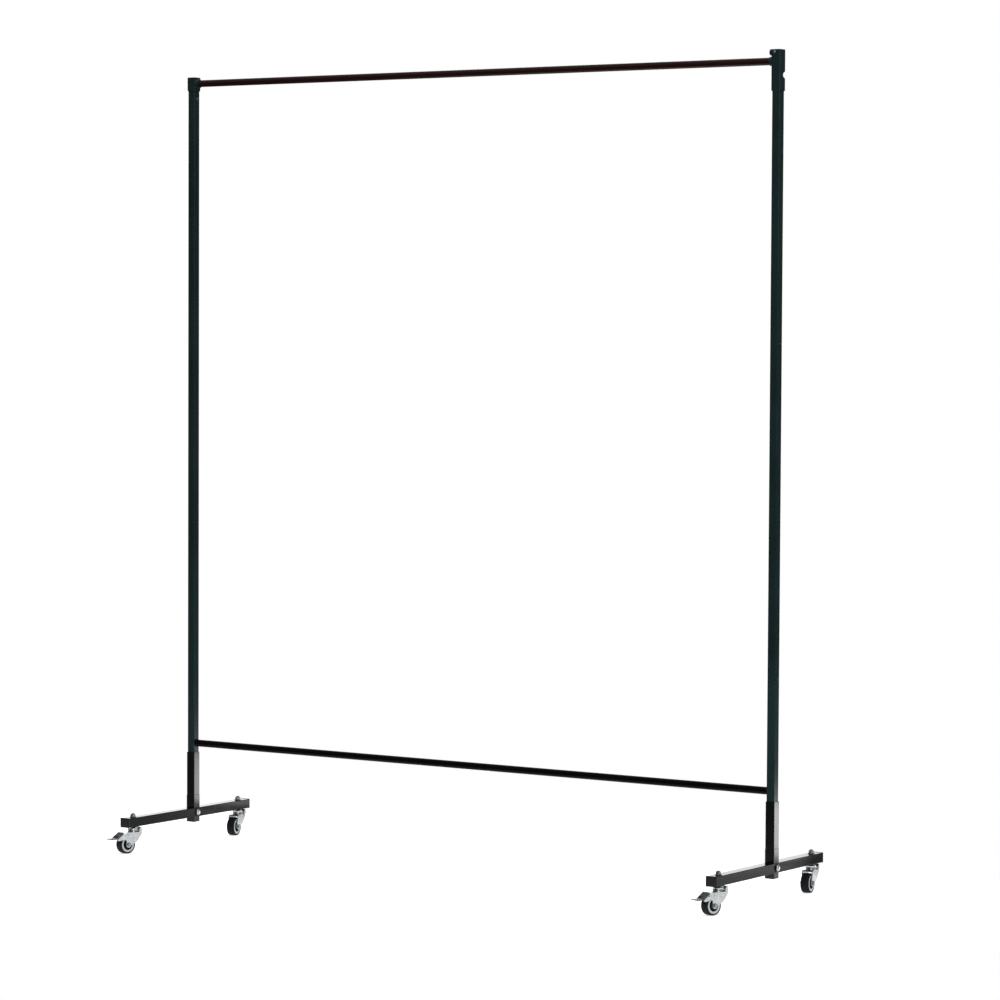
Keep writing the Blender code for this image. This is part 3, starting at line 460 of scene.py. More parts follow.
def dome(radius, height, steps=8):
    """The profile of a domed head, from its crown to its rim at height 0."""
    points = []
    for i in range(steps + 1):
        angle = math.pi / 2 * (1 - i / steps)
        points.append((max(radius * math.cos(angle), TIP), height * math.sin(angle)))
    return points


def thread(name, radius, low, high, sides=32):
    """A threaded stud along Z: a helical ridge, with chamfered ends."""
    rise = THREAD_PITCH / 6
    depth = 0.08 * radius
    count = max(int((high - low) / rise), 4)
    profile = [(radius, low + (high - low) * i / count) for i in range(count + 1)]

    def helix(r, angle, z):
        phase = (z / THREAD_PITCH - angle / (2 * math.pi)) % 1
        groove = depth * 2 * abs(phase - 0.5)
        end = min(z - low, high - z)
        taper = max(0.0, 0.5 * THREAD_PITCH - end)
        return r - groove - taper

    return turned(name, profile, sides=sides, radius_at=helix)


def hex_nut(name, across_corners, low, high):
    """A hexagon with its corners chamfered by a cone at both faces."""
    chamfer = 0.14 * across_corners / 2
    hexagon = turned(name, [(across_corners / 2, low), (across_corners / 2, high)], sides=6)
    rim = across_corners / 2 * 1.001
    apothem = across_corners / 2 * math.cos(math.pi / 6)
    cone = [
        (apothem * 0.98, low),
        (rim, low + chamfer * 0.6),
        (rim, high - chamfer * 0.6),
        (apothem * 0.98, high),
    ]
    combine(hexagon, "INTERSECT", turned("chamfer", cone, sides=72))
    return hexagon


# Materials


def add_node(tree, kind, inputs=None, **settings):
    """Add a node, set its properties, and fill its inputs with values or other nodes' outputs."""
    node = tree.nodes.new(kind)
    for name, value in settings.items():
        setattr(node, name, value)
    for name, value in (inputs or {}).items():
        if isinstance(value, bpy.types.NodeSocket):
            tree.links.new(value, node.inputs[name])
        else:
            node.inputs[name].default_value = value
    return node


def per(size_mm):
    """A pattern's scale for features of a size in millimetres, in coordinates that are metres."""
    return 1 / (size_mm * MM)


def shader_for(name, **values):
    """A new material, with its tree, its shader and coordinates in metres."""
    material = bpy.data.materials.new(name)
    material.use_nodes = True
    tree = material.node_tree
    shader = tree.nodes["Principled BSDF"]
    for socket, value in values.items():
        shader.inputs[socket.replace("_", " ")].default_value = value
    place = add_node(tree, "ShaderNodeTexCoord").outputs["Object"]
    return material, tree, shader, place


def worn_edges(tree, place, radius_mm, patch_mm, coated=0.54):
    """A mask of edges rubbed through in patches: where a rounded normal leaves the true one."""
    true_normal = add_node(tree, "ShaderNodeNewGeometry").outputs["Normal"]
    soft_normal = add_node(tree, "ShaderNodeBevel", {"Radius": radius_mm * MM}, samples=4).outputs["Normal"]
    same = add_node(
        tree, "ShaderNodeVectorMath", {0: true_normal, 1: soft_normal}, operation="DOT_PRODUCT"
    ).outputs["Value"]
    edge = add_node(
        tree,
        "ShaderNodeMapRange",
        {"Value": same, "From Min": 0.985, "From Max": 0.93, "To Min": 0, "To Max": 1},
    ).outputs["Result"]
    patches = add_node(
        tree, "ShaderNodeTexNoise", {"Vector": place, "Scale": per(patch_mm), "Detail": 5, "Roughness": 0.65}
    ).outputs["Fac"]
    broken = add_node(
        tree,
        "ShaderNodeMapRange",
        {"Value": patches, "From Min": coated, "From Max": coated + 0.12, "To Min": 0, "To Max": 1},
    ).outputs["Result"]
    return add_node(tree, "ShaderNodeMath", {0: edge, 1: broken}, operation="MULTIPLY").outputs["Value"]


def powder_coat(name, colour, roughness, ior, peel_mm=1.6, peel=0.1, wear="4a5250"):
    """Polyester powder coat, sprayed dry and baked on steel tube.

    The melted powder levels into a soft orange peel, holds a little dust, and rubs thin at the edges.
    """
    material, tree, shader, place = shader_for(name, Roughness=roughness, IOR=ior)
    broad = add_node(
        tree, "ShaderNodeTexNoise", {"Vector": place, "Scale": per(140), "Detail": 3}
    ).outputs["Fac"]
    shade = add_node(
        tree,
        "ShaderNodeMapRange",
        {"Value": broad, "From Min": 0.3, "From Max": 0.7, "To Min": 0.8, "To Max": 1.25},
    ).outputs["Result"]
    base = add_node(
        tree, "ShaderNodeVectorMath", {0: colour[:3], "Scale": shade}, operation="SCALE"
    ).outputs["Vector"]
    specks = add_node(
        tree, "ShaderNodeTexNoise", {"Vector": place, "Scale": per(1.2), "Detail": 2, "Roughness": 0.7}
    ).outputs["Fac"]
    dust = add_node(
        tree,
        "ShaderNodeMapRange",
        {"Value": specks, "From Min": 0.66, "From Max": 0.8, "To Min": 0, "To Max": 0.22},
    ).outputs["Result"]
    dusty = add_node(
        tree, "ShaderNodeMix", {"Factor": dust, 6: base, 7: linear("5c6361")}, data_type="RGBA"
    ).outputs[2]
    edges = worn_edges(tree, place, 0.7, 9)
    worn = add_node(
        tree, "ShaderNodeMix", {"Factor": edges, 6: dusty, 7: linear(wear)}, data_type="RGBA"
    ).outputs[2]
    tree.links.new(worn, shader.inputs["Base Color"])
    bumps = add_node(
        tree, "ShaderNodeTexNoise", {"Vector": place, "Scale": per(peel_mm), "Detail": 1}
    ).outputs["Fac"]
    gloss = add_node(
        tree,
        "ShaderNodeMapRange",
        {
            "Value": broad, "From Min": 0.3, "From Max": 0.7,
            "To Min": roughness - 0.05, "To Max": roughness + 0.07,
        },
    ).outputs["Result"]
    tree.links.new(gloss, shader.inputs["Roughness"])
    bump = add_node(tree, "ShaderNodeBump", {"Height": bumps, "Strength": peel, "Distance": 0.15 * MM})
    tree.links.new(bump.outputs["Normal"], shader.inputs["Normal"])
    return material


def zinc_plate(name, colour, roughness, streak_mm=0.5):
    """Bright zinc plate over pressed or turned steel.

    The plate is a little cloudy from crystal to crystal, and fine forming lines show in its shine.
    """
    material, tree, shader, place = shader_for(name, Metallic=1.0, Roughness=roughness)
    cells = add_node(
        tree, "ShaderNodeTexVoronoi", {"Vector": place, "Scale": per(2.4)}, feature="SMOOTH_F1"
    ).outputs["Color"]
    cloud = add_node(tree, "ShaderNodeSeparateColor", {"Color": cells}).outputs[0]
    grain = add_node(
        tree, "ShaderNodeTexNoise", {"Vector": place, "Scale": per(9), "Detail": 4}
    ).outputs["Fac"]
    mixed = add_node(tree, "ShaderNodeMath", {0: cloud, 1: grain}, operation="MULTIPLY").outputs["Value"]
    shade = add_node(
        tree,
        "ShaderNodeMapRange",
        {"Value": mixed, "From Min": 0, "From Max": 0.6, "To Min": 0.82, "To Max": 1.06},
    ).outputs["Result"]
    base = add_node(
        tree, "ShaderNodeVectorMath", {0: colour[:3], "Scale": shade}, operation="SCALE"
    ).outputs["Vector"]
    tree.links.new(base, shader.inputs["Base Color"])
    rough = add_node(
        tree,
        "ShaderNodeMapRange",
        {
            "Value": mixed, "From Min": 0, "From Max": 0.6,
            "To Min": roughness + 0.1, "To Max": roughness - 0.06,
        },
    ).outputs["Result"]
    tree.links.new(rough, shader.inputs["Roughness"])
    stretched = add_node(
        tree,
        "ShaderNodeMapping",
        {"Vector": place, "Scale": (per(streak_mm), per(streak_mm * 14), per(streak_mm))},
    ).outputs["Vector"]
    lines = add_node(
        tree, "ShaderNodeTexNoise", {"Vector": stretched, "Scale": 1, "Detail": 2}
    ).outputs["Fac"]
    bump = add_node(tree, "ShaderNodeBump", {"Height": lines, "Strength": 0.06, "Distance": 0.1 * MM})
    tree.links.new(bump.outputs["Normal"], shader.inputs["Normal"])
    return material


def darkened_steel(name, colour, roughness, coated=0.54):
    """Hot-dipped dark steel, pressed from sheet and handled with boots.

    The finish is uneven, and rubbed bright at its edges and ridges.
    """
    material, tree, shader, place = shader_for(name, Metallic=1.0, Roughness=roughness)
    mottle = add_node(
        tree, "ShaderNodeTexNoise", {"Vector": place, "Scale": per(5), "Detail": 6, "Roughness": 0.6}
    ).outputs["Fac"]
    shade = add_node(
        tree,
        "ShaderNodeMapRange",
        {"Value": mottle, "From Min": 0.3, "From Max": 0.7, "To Min": 0.6, "To Max": 1.2},
    ).outputs["Result"]
    base = add_node(
        tree, "ShaderNodeVectorMath", {0: colour[:3], "Scale": shade}, operation="SCALE"
    ).outputs["Vector"]
    edges = worn_edges(tree, place, 0.9, 3, coated)
    worn = add_node(
        tree, "ShaderNodeMix", {"Factor": edges, 6: base, 7: linear("e2e6e6")}, data_type="RGBA"
    ).outputs[2]
    tree.links.new(worn, shader.inputs["Base Color"])
    rough = add_node(
        tree,
        "ShaderNodeMapRange",
        {
            "Value": mottle, "From Min": 0.3, "From Max": 0.7,
            "To Min": roughness + 0.12, "To Max": roughness - 0.05,
        },
    ).outputs["Result"]
    tree.links.new(rough, shader.inputs["Roughness"])
    bump = add_node(tree, "ShaderNodeBump", {"Height": mottle, "Strength": 0.1, "Distance": 0.1 * MM})
    tree.links.new(bump.outputs["Normal"], shader.inputs["Normal"])
    return material


def moulded(name, colour, roughness, ior, grain_mm, depth_mm, pale, pale_share):
    """Injection-moulded nylon, polypropylene or soft tread.

    The tool's fine spark-eroded grain breaks the shine, and handling leaves pale scuffs and dust.
    """
    material, tree, shader, place = shader_for(name, Roughness=roughness, IOR=ior)
    grain = add_node(
        tree, "ShaderNodeTexNoise", {"Vector": place, "Scale": per(grain_mm), "Detail": 4, "Roughness": 0.6}
    ).outputs["Fac"]
    scuff = add_node(
        tree, "ShaderNodeTexNoise", {"Vector": place, "Scale": per(6), "Detail": 7, "Roughness": 0.7}
    ).outputs["Fac"]
    dusted = add_node(
        tree,
        "ShaderNodeMapRange",
        {"Value": scuff, "From Min": 0.5, "From Max": 0.78, "To Min": 0, "To Max": pale_share},
    ).outputs["Result"]
    base = add_node(
        tree, "ShaderNodeMix", {"Factor": dusted, 6: colour, 7: linear(pale)}, data_type="RGBA"
    ).outputs[2]
    tree.links.new(base, shader.inputs["Base Color"])
    rough = add_node(
        tree,
        "ShaderNodeMapRange",
        {
            "Value": scuff, "From Min": 0.35, "From Max": 0.7,
            "To Min": roughness - 0.05, "To Max": roughness + 0.12,
        },
    ).outputs["Result"]
    tree.links.new(rough, shader.inputs["Roughness"])
    bump = add_node(tree, "ShaderNodeBump", {"Height": grain, "Strength": 0.25, "Distance": depth_mm * MM})
    tree.links.new(bump.outputs["Normal"], shader.inputs["Normal"])
    return material


def material_called(name):
    """One of the frame's finishes, made when it is first asked for."""
    if name in bpy.data.materials:
        return bpy.data.materials[name]
    colours = bpy.context.scene.curtain_colours

    def rgba(colour):
        return (*colour, 1.0)

    makers = {
        "green_powder_coat": lambda: powder_coat(name, rgba(colours.post_coat), 0.32, 1.3),
        "maroon_powder_coat": lambda: powder_coat(
            name, rgba(colours.top_rail_coat), 0.22, 1.3, wear="5a4644"
        ),
        "black_powder_coat": lambda: powder_coat(name, rgba(colours.bottom_rail_coat), 0.25, 1.12),
        "black_gloss_enamel": lambda: powder_coat(
            name, rgba(colours.foot_coat), 0.15, 1.33, peel_mm=3, peel=0.04
        ),
        "black_stoved_enamel": lambda: powder_coat(
            name, rgba(colours.foot_coat), 0.15, 1.18, peel_mm=3, peel=0.04
        ),
        "bright_zinc_plate": lambda: zinc_plate(name, rgba(colours.zinc), 0.26),
        "polished_zinc_plate": lambda: zinc_plate(name, linear("ccd0d2"), 0.14, streak_mm=0.3),
        "dulled_zinc_plate": lambda: zinc_plate(name, linear("8c9092"), 0.3),
        "darkened_sheet_steel": lambda: darkened_steel(name, rgba(colours.pedal_steel), 0.3, coated=0.46),
        "black_oxide_steel": lambda: darkened_steel(name, rgba(colours.oxide), 0.36),
        "grey_nylon": lambda: moulded(name, rgba(colours.core), 0.42, 1.5, 0.5, 0.05, "8f9193", 0.35),
        "soft_tread": lambda: moulded(name, rgba(colours.tread), 0.6, 1.22, 0.6, 0.06, "3a4448", 0.25),
        # Darker nylon for the web and ribs of each wheel core: painted shade in the recess inside the rim.
        "recess_shade_nylon": lambda: moulded(name, linear("26282a"), 0.5, 1.4, 0.5, 0.05, "4a4c4e", 0.3),
        "black_polypropylene": lambda: moulded(
            name, rgba(colours.plastic), 0.4, 1.4, 0.45, 0.05, "3a3d3e", 0.25
        ),
    }
    return makers[name]()


# Pieces


class CURTAINFRAME_OT_posts(bpy.types.Operator):
    """Make both posts, with the studs and the rivet on them"""

    bl_idname = "curtain_frame.posts"
    bl_label = "Posts"

    def execute(self, context):
        coat = material_called("green_powder_coat")
        top_rail = middle_of("rail_top")
        bottom_rail = middle_of("rail_bottom")
        bolt = middle_of("foot_bolt_washer_left")
        for side in SIDES:
            low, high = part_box(f"post_{side}")
            middle = (low + high) / 2
            inward = -math.copysign(1, middle.x)
            post = tube_of("post", high.x - low.x, high.y - low.y, POST_WALL, low.z, high.z)
            move(post, at(middle.x, middle.y, 0))
            wall = middle.x + inward * (high.x - low.x) / 2
            drill(post, BOLT_RADIUS + FIT, 2 * (high.x - low.x), at(middle.x, middle.y, bolt.z) @ TO_X)
            drill(post, SPIGOT_RADIUS + FIT, 8 * MM, at(wall, middle.y, bottom_rail.z) @ TO_X)
            if side == "left":
                drill(post, SPIGOT_RADIUS + FIT, 8 * MM, at(wall, middle.y, top_rail.z) @ TO_X)
            finish_piece(post, f"post_{side}", coat)
        for name in ("stud_lower", "stud_upper"):
            self.fastener(name, TO_X, 3.6 * MM, coat)
        self.fastener("rivet_left", TO_X, 1.8 * MM, material_called("dulled_zinc_plate"))
        return {"FINISHED"}

    def fastener(self, node, turn, head, material):
        """A domed head with a small collar under it and its shank behind."""
        low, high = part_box(node)
        radius = (high.z - low.z) / 2
        shank = radius / 2
        collar = 0.5 * MM
        tail = low.x - high.x + head
        profile = [(TIP, tail), (shank, tail), (shank, 0), (radius, 0), (radius, collar)]
        profile += [(r * 0.94, h + collar) for r, h in reversed(dome(radius, head - collar))]
        piece = turned(node, profile)
        move(piece, at(high.x - head, (low.y + high.y) / 2, (low.z + high.z) / 2) @ turn)
        finish_piece(piece, node, material)


class CURTAINFRAME_OT_rails(bpy.types.Operator):
    """Make the top rail and the bottom rail with their swaged ends"""

    bl_idname = "curtain_frame.rails"
    bl_label = "Rails"

    def execute(self, context):
        for name, coat in (("rail_top", "maroon_powder_coat"), ("rail_bottom", "black_powder_coat")):
            low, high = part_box(name)
            middle = (low + high) / 2
            radius = (high.z - low.z) / 2
            end = (high.x - low.x) / 2
            body = end - SPIGOT_LENGTH
            edge = 1.2 * MM
            chamfer = 0.4 * MM
            half = [(SPIGOT_RADIUS - chamfer, end), (SPIGOT_RADIUS, end - chamfer)]
            half += [(SPIGOT_RADIUS, body)]
            half += arc((radius - edge, body - edge), edge, 90, 0, 5)
            outside = half + [(r, -h) for r, h in reversed(half)]
            bore = SPIGOT_RADIUS - RAIL_WALL
            wide = radius - RAIL_WALL
            narrow_to, wide_from = 4 * MM, 9 * MM
            inside = [(bore, -end), (bore, narrow_to - body), (wide, wide_from - body)]
            inside += [(wide, body - wide_from), (bore, body - narrow_to), (bore, end)]
            rail = turned(name, outside + inside, ring=True)
            move(rail, at(*middle) @ TO_X)
            finish_piece(rail, name, material_called(coat))
        return {"FINISHED"}


class CURTAINFRAME_OT_top_fittings(bpy.types.Operator):
    """Make the two caps that join the posts to the top rail, the clamp knob and its screw"""

    bl_idname = "curtain_frame.top_fittings"
    bl_label = "Top fittings"

    def execute(self, context):
        rail = middle_of("rail_top")
        for side in SIDES:
            self.fitting(side, rail)
        self.knob()
        self.screw()
        return {"FINISHED"}

    def fitting(self, side, rail):
        node = f"top_fitting_{side}"
        post_low, post_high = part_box(f"post_{side}")
        low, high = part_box(node)
        middle = (post_low + post_high) / 2
        width = high.y - low.y
        inward = -math.copysign(1, middle.x)
        corner = 2.6 * MM
        lead = 1.2 * MM
        crown = 1.8 * MM
        rings = [(low.z, lead * 0.8), (low.z + lead, 0)]
        for step in range(6):
            angle = math.pi / 2 * step / 5
            rings.append((high.z - crown + crown * math.sin(angle), crown * (1 - math.cos(angle))))
        loops = []
        for z, inset in rings:
            across = width - 2 * inset
            outline = rounded_rectangle(across, across, max(corner - inset, 0.5 * MM))
            loops.append([(x, y, z) for x, y in outline])
        body = move(loft(node, loops), at(middle.x, middle.y, 0))

        face = width / 2
        flare = 3 * MM
        foot = BOSS_TIP + flare
        edge = 0.8 * MM
        neck = [(TIP, face - flare), (foot, face - flare), (foot, face - 0.4 * MM)]
        neck += [(foot - r, face + h) for r, h in self.fillet(flare)]
        neck += arc((BOSS_TIP - edge, face + BOSS_LENGTH - edge), edge, 0, 90, 4)
        neck += [(TIP, face + BOSS_LENGTH)]
        boss = turned("boss", neck)
        turn = TO_X if inward > 0 else TO_MINUS_X
        move(boss, at(middle.x, middle.y, rail.z) @ turn)
        trim_low = (middle.x - width, middle.y - face, low.z + lead)
        trim = box("trim", trim_low, (middle.x + width, middle.y + face, high.z - crown * 0.4))
        combine(boss, "INTERSECT", trim)
        combine(body, "UNION", boss)

        hole = (post_high.x - post_low.x) / 2 + FIT
        pocket_low = (middle.x - hole, middle.y - hole, low.z - width)
        pocket = box("pocket", pocket_low, (middle.x + hole, middle.y + hole, high.z - FITTING_ROOF))
        combine(body, "DIFFERENCE", pocket)
        wall = middle.x + inward * face
        drill(body, SPIGOT_RADIUS + FIT, width, at(wall, middle.y, rail.z) @ TO_X)
        rail_low, rail_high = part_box("rail_top")
        seat = (rail_high.z - rail_low.z) / 2 + FIT
        boss_end = at(wall + inward * BOSS_LENGTH, middle.y, rail.z)
        drill(body, seat, 2 * BOSS_LENGTH, boss_end @ TO_X, sides=64)
        if side == "right":
            turn = Matrix.Rotation(math.pi / 4, 4, "Z") @ TO_MINUS_Y
            notch = at(middle.x + face, middle.y + face, rail.z - NOTCH_BELOW_RAIL) @ turn
            drill(body, NOTCH_RADIUS, 2 * width, notch, sides=72)
        finish_piece(body, node, material_called("green_powder_coat"), angle=28)

    def fillet(self, radius, steps=6):
        """A quarter curve that leaves a face level and ends upright."""
        points = []
        for i in range(steps + 1):
            angle = math.pi / 2 * i / steps
            points.append((radius * math.sin(angle), radius * (1 - math.cos(angle))))
        return points

    def knob(self):
        """A fluted hand knob on a steel screw, with a dished face."""
        node = "clamp_knob"
        low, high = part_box(node)
        radius = (high.z - low.z) / 2
        flutes = bpy.context.scene.curtain_shape.knob_flutes
        fitting_low, fitting_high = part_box("top_fitting_right")
        wall_face = fitting_high.x - (fitting_high.y - fitting_low.y)
        neck = wall_face - low.x - 5.5 * MM
        top = wall_face - low.x
        tail = wall_face - high.x
        shank, collar, gap = 3 * MM, 4.2 * MM, 0.3 * MM
        profile = [(TIP, tail), (shank, tail), (shank, gap), (collar, gap), (collar, neck)]
        profile += arc((radius - 1 * MM, neck + 1 * MM), 1 * MM, -90, 0, 5)
        profile += arc((radius - 1.2 * MM, top - 1.2 * MM), 1.2 * MM, 0, 90, 5)
        profile += [(radius * 0.62, top), (radius * 0.56, top - 0.7 * MM), (TIP, top - 0.9 * MM)]

        def fluted(r, angle, _):
            share = max(0.0, (r - radius * 0.7) / (radius * 0.3))
            return r - 0.45 * MM * share * (0.5 + 0.5 * math.cos(flutes * angle))

        piece = turned(node, profile, sides=flutes * 12, radius_at=fluted)
        move(piece, at(wall_face, (low.y + high.y) / 2, (low.z + high.z) / 2) @ TO_MINUS_X)
        finish_piece(piece, node, material_called("black_polypropylene"))

    def screw(self):
        """A pan-head screw with a cross recess."""
        node = "clamp_screw"
        low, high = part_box(node)
        radius = (high.z - low.z) / 2
        head = 2 * MM
        shank, rim = 1.9 * MM, 0.4 * MM
        tail = low.y - high.y + head
        profile = [(TIP, tail), (shank, tail), (shank, 0), (radius, 0), (radius, rim)]
        profile += [(r * 0.97, h + rim) for r, h in reversed(dome(radius, head - rim))]
        piece = turned(node, profile)
        arm, half_slot = 2.1 * MM, 0.4 * MM
        for long, wide in ((arm, half_slot), (half_slot, arm)):
            recess = box("recess", (-long, -wide, head - 1.1 * MM), (long, wide, head + 1 * MM))
            combine(piece, "DIFFERENCE", recess)
        move(piece, at((low.x + high.x) / 2, low.y + head, (low.z + high.z) / 2) @ TO_MINUS_Y)
        finish_piece(piece, node, material_called("dulled_zinc_plate"))


class CURTAINFRAME_OT_legs(bpy.types.Operator):
    """Make the sleeves and the foot sockets"""

    bl_idname = "curtain_frame.legs"
    bl_label = "Legs"

    def execute(self, context):
        enamel = material_called("black_gloss_enamel")
        bolt = middle_of("foot_bolt_washer_left")
        for side in SIDES:
            walls = {f"leg_sleeve_{side}": SLEEVE_WALL, f"foot_socket_{side}": SOCKET_WALL}
            for node, wall in walls.items():
                low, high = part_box(node)
                middle = (low + high) / 2
                tube = tube_of(node, high.x - low.x, high.y - low.y, wall, low.z, high.z)
                move(tube, at(middle.x, middle.y, 0))
                if node.startswith("foot_socket"):
                    place = at(middle.x, middle.y, bolt.z)
                    drill(tube, BOLT_RADIUS + FIT, 2 * (high.x - low.x), place @ TO_X)
                finish_piece(tube, node, enamel)
        return {"FINISHED"}


class CURTAINFRAME_OT_feet(bpy.types.Operator):
    """Make the foot beams and their end caps"""

    bl_idname = "curtain_frame.feet"
    bl_label = "Feet"

    def execute(self, context):
        for side in SIDES:
            self.beam(side)
            for end in ("front", "rear"):
                self.cap(f"end_cap_{end}_{side}", -1 if end == "front" else 1)
        return {"FINISHED"}

    def beam(self, side):
        node = f"foot_beam_{side}"
        low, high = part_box(node)
        middle = (low + high) / 2
        length = high.y - low.y
        beam = tube_of(node, high.x - low.x, high.z - low.z, BEAM_WALL, -length / 2, length / 2)
        move(beam, at(*middle) @ TO_Y)
        socket_low, socket_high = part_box(f"foot_socket_{side}")
        opening_low = (socket_low.x - FIT, socket_low.y - FIT, low.z - 5 * MM)
        opening_high = (socket_high.x + FIT, socket_high.y + FIT, high.z + 5 * MM)
        combine(beam, "DIFFERENCE", box("opening", opening_low, opening_high))
        socket = (socket_low + socket_high) / 2
        drill(beam, BOLT_RADIUS + FIT, 2 * (high.x - low.x), at(socket.x, socket.y, middle.z) @ TO_X)
        for end in ("front", "rear"):
            stem = middle_of(f"caster_stem_{end}_{side}")
            drill(beam, BOLT_RADIUS + FIT, 2 * (high.z - low.z), at(stem.x, stem.y, middle.z))
        finish_piece(beam, node, material_called("black_stoved_enamel"))

    def cap(self, node, outward):
        """A flange with a softly domed face, and a plug with gripping ribs."""
        low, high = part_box(node)
        middle = (low + high) / 2
        width = high.x - low.x
        height = high.z - low.z
        depth = high.y - low.y
        flange = 2.5 * MM
        plug = depth - flange
        inset = BEAM_WALL + FIT + 0.5 * MM
        rib = 0.25 * MM
        rings = [(0, inset + 2 * MM), (0.8 * MM, inset + rib)]
        for i in range(3):
            z = (3 + 3 * i) * MM
            rings += [(z - 0.6 * MM, inset + rib), (z, inset), (z + 0.6 * MM, inset + rib)]
        rings += [(plug, inset + rib), (plug, 0.3 * MM), (plug + 0.3 * MM, 0)]
        edge = 1.1 * MM
        for step in range(6):
            angle = math.pi / 2 * step / 5
            z = depth - 0.25 * MM - edge + edge * math.sin(angle)
            rings.append((z, edge * (1 - math.cos(angle))))
        rings += [(depth - 0.1 * MM, 3 * MM), (depth, 7 * MM)]
        loops = []
        for z, ring_inset in rings:
            corner = max(2 * MM - ring_inset, 0.6 * MM)
            outline = rounded_rectangle(width - 2 * ring_inset, height - 2 * ring_inset, corner)
            loops.append([(x, y, z) for x, y in outline])
        cap = loft(node, loops)
        start = low.y if outward > 0 else high.y
        turn = TO_Y if outward > 0 else TO_MINUS_Y
        move(cap, at(middle.x, start, middle.z) @ turn)
        finish_piece(cap, node, material_called("black_polypropylene"))


class CURTAINFRAME_OT_foot_bolts(bpy.types.Operator):
    """Make the bolts that hold the feet, with their washers and nuts"""

    bl_idname = "curtain_frame.foot_bolts"
    bl_label = "Foot bolts"

    def execute(self, context):
        for side in SIDES:
            self.bolt(f"foot_bolt_{side}", f"foot_bolt_washer_{side}")
            self.washer(f"foot_bolt_washer_{side}")
            self.nut(f"foot_bolt_nut_{side}")
        return {"FINISHED"}

    def bolt(self, node, washer):
        low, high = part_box(node)
        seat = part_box(washer)[1].x + FIT
        head = high.x - seat
        radius = (high.z - low.z) / 2
        rim = 1 * MM
        end = low.x - seat
        shank = BOLT_RADIUS
        plain_end, plain_rim, thread_start = -20 * MM, -19.6 * MM, -18 * MM
        profile = [(TIP, plain_end), (shank * 0.98, plain_end), (shank, plain_rim), (shank, 0)]
        profile += [(radius - 0.3 * MM, 0), (radius, 0.3 * MM), (radius, rim)]
        profile += [(r, h + rim) for r, h in reversed(dome(radius, head - rim, steps=12))]
        piece = turned(node, profile)
        combine(piece, "UNION", thread("thread", shank, end, thread_start))
        move(piece, at(seat, (low.y + high.y) / 2, (low.z + high.z) / 2) @ TO_X)
        finish_piece(piece, node, material_called("bright_zinc_plate"))

    def washer(self, node):
        low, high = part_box(node)
        radius = (high.z - low.z) / 2
        thick = high.x - low.x
        bore = BOLT_RADIUS + FIT
        edge = 0.35 * MM
        profile = [(bore, 0), (radius - edge, 0), (radius, edge), (radius, thick - edge)]
        profile += [(radius - edge, thick), (bore, thick)]
        piece = turned(node, profile, ring=True)
        move(piece, at(low.x, (low.y + high.y) / 2, (low.z + high.z) / 2) @ TO_X)
        finish_piece(piece, node, material_called("black_oxide_steel"))

    def nut(self, node):
        low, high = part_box(node)
        corners = high.y - low.y
        piece = hex_nut(node, corners, 0, high.x - low.x)
        drill(piece, BOLT_RADIUS + FIT, 4 * (high.x - low.x), Matrix())
        move(piece, at(high.x, (low.y + high.y) / 2, (low.z + high.z) / 2) @ TO_MINUS_X)
        finish_piece(piece, node, material_called("bright_zinc_plate"))


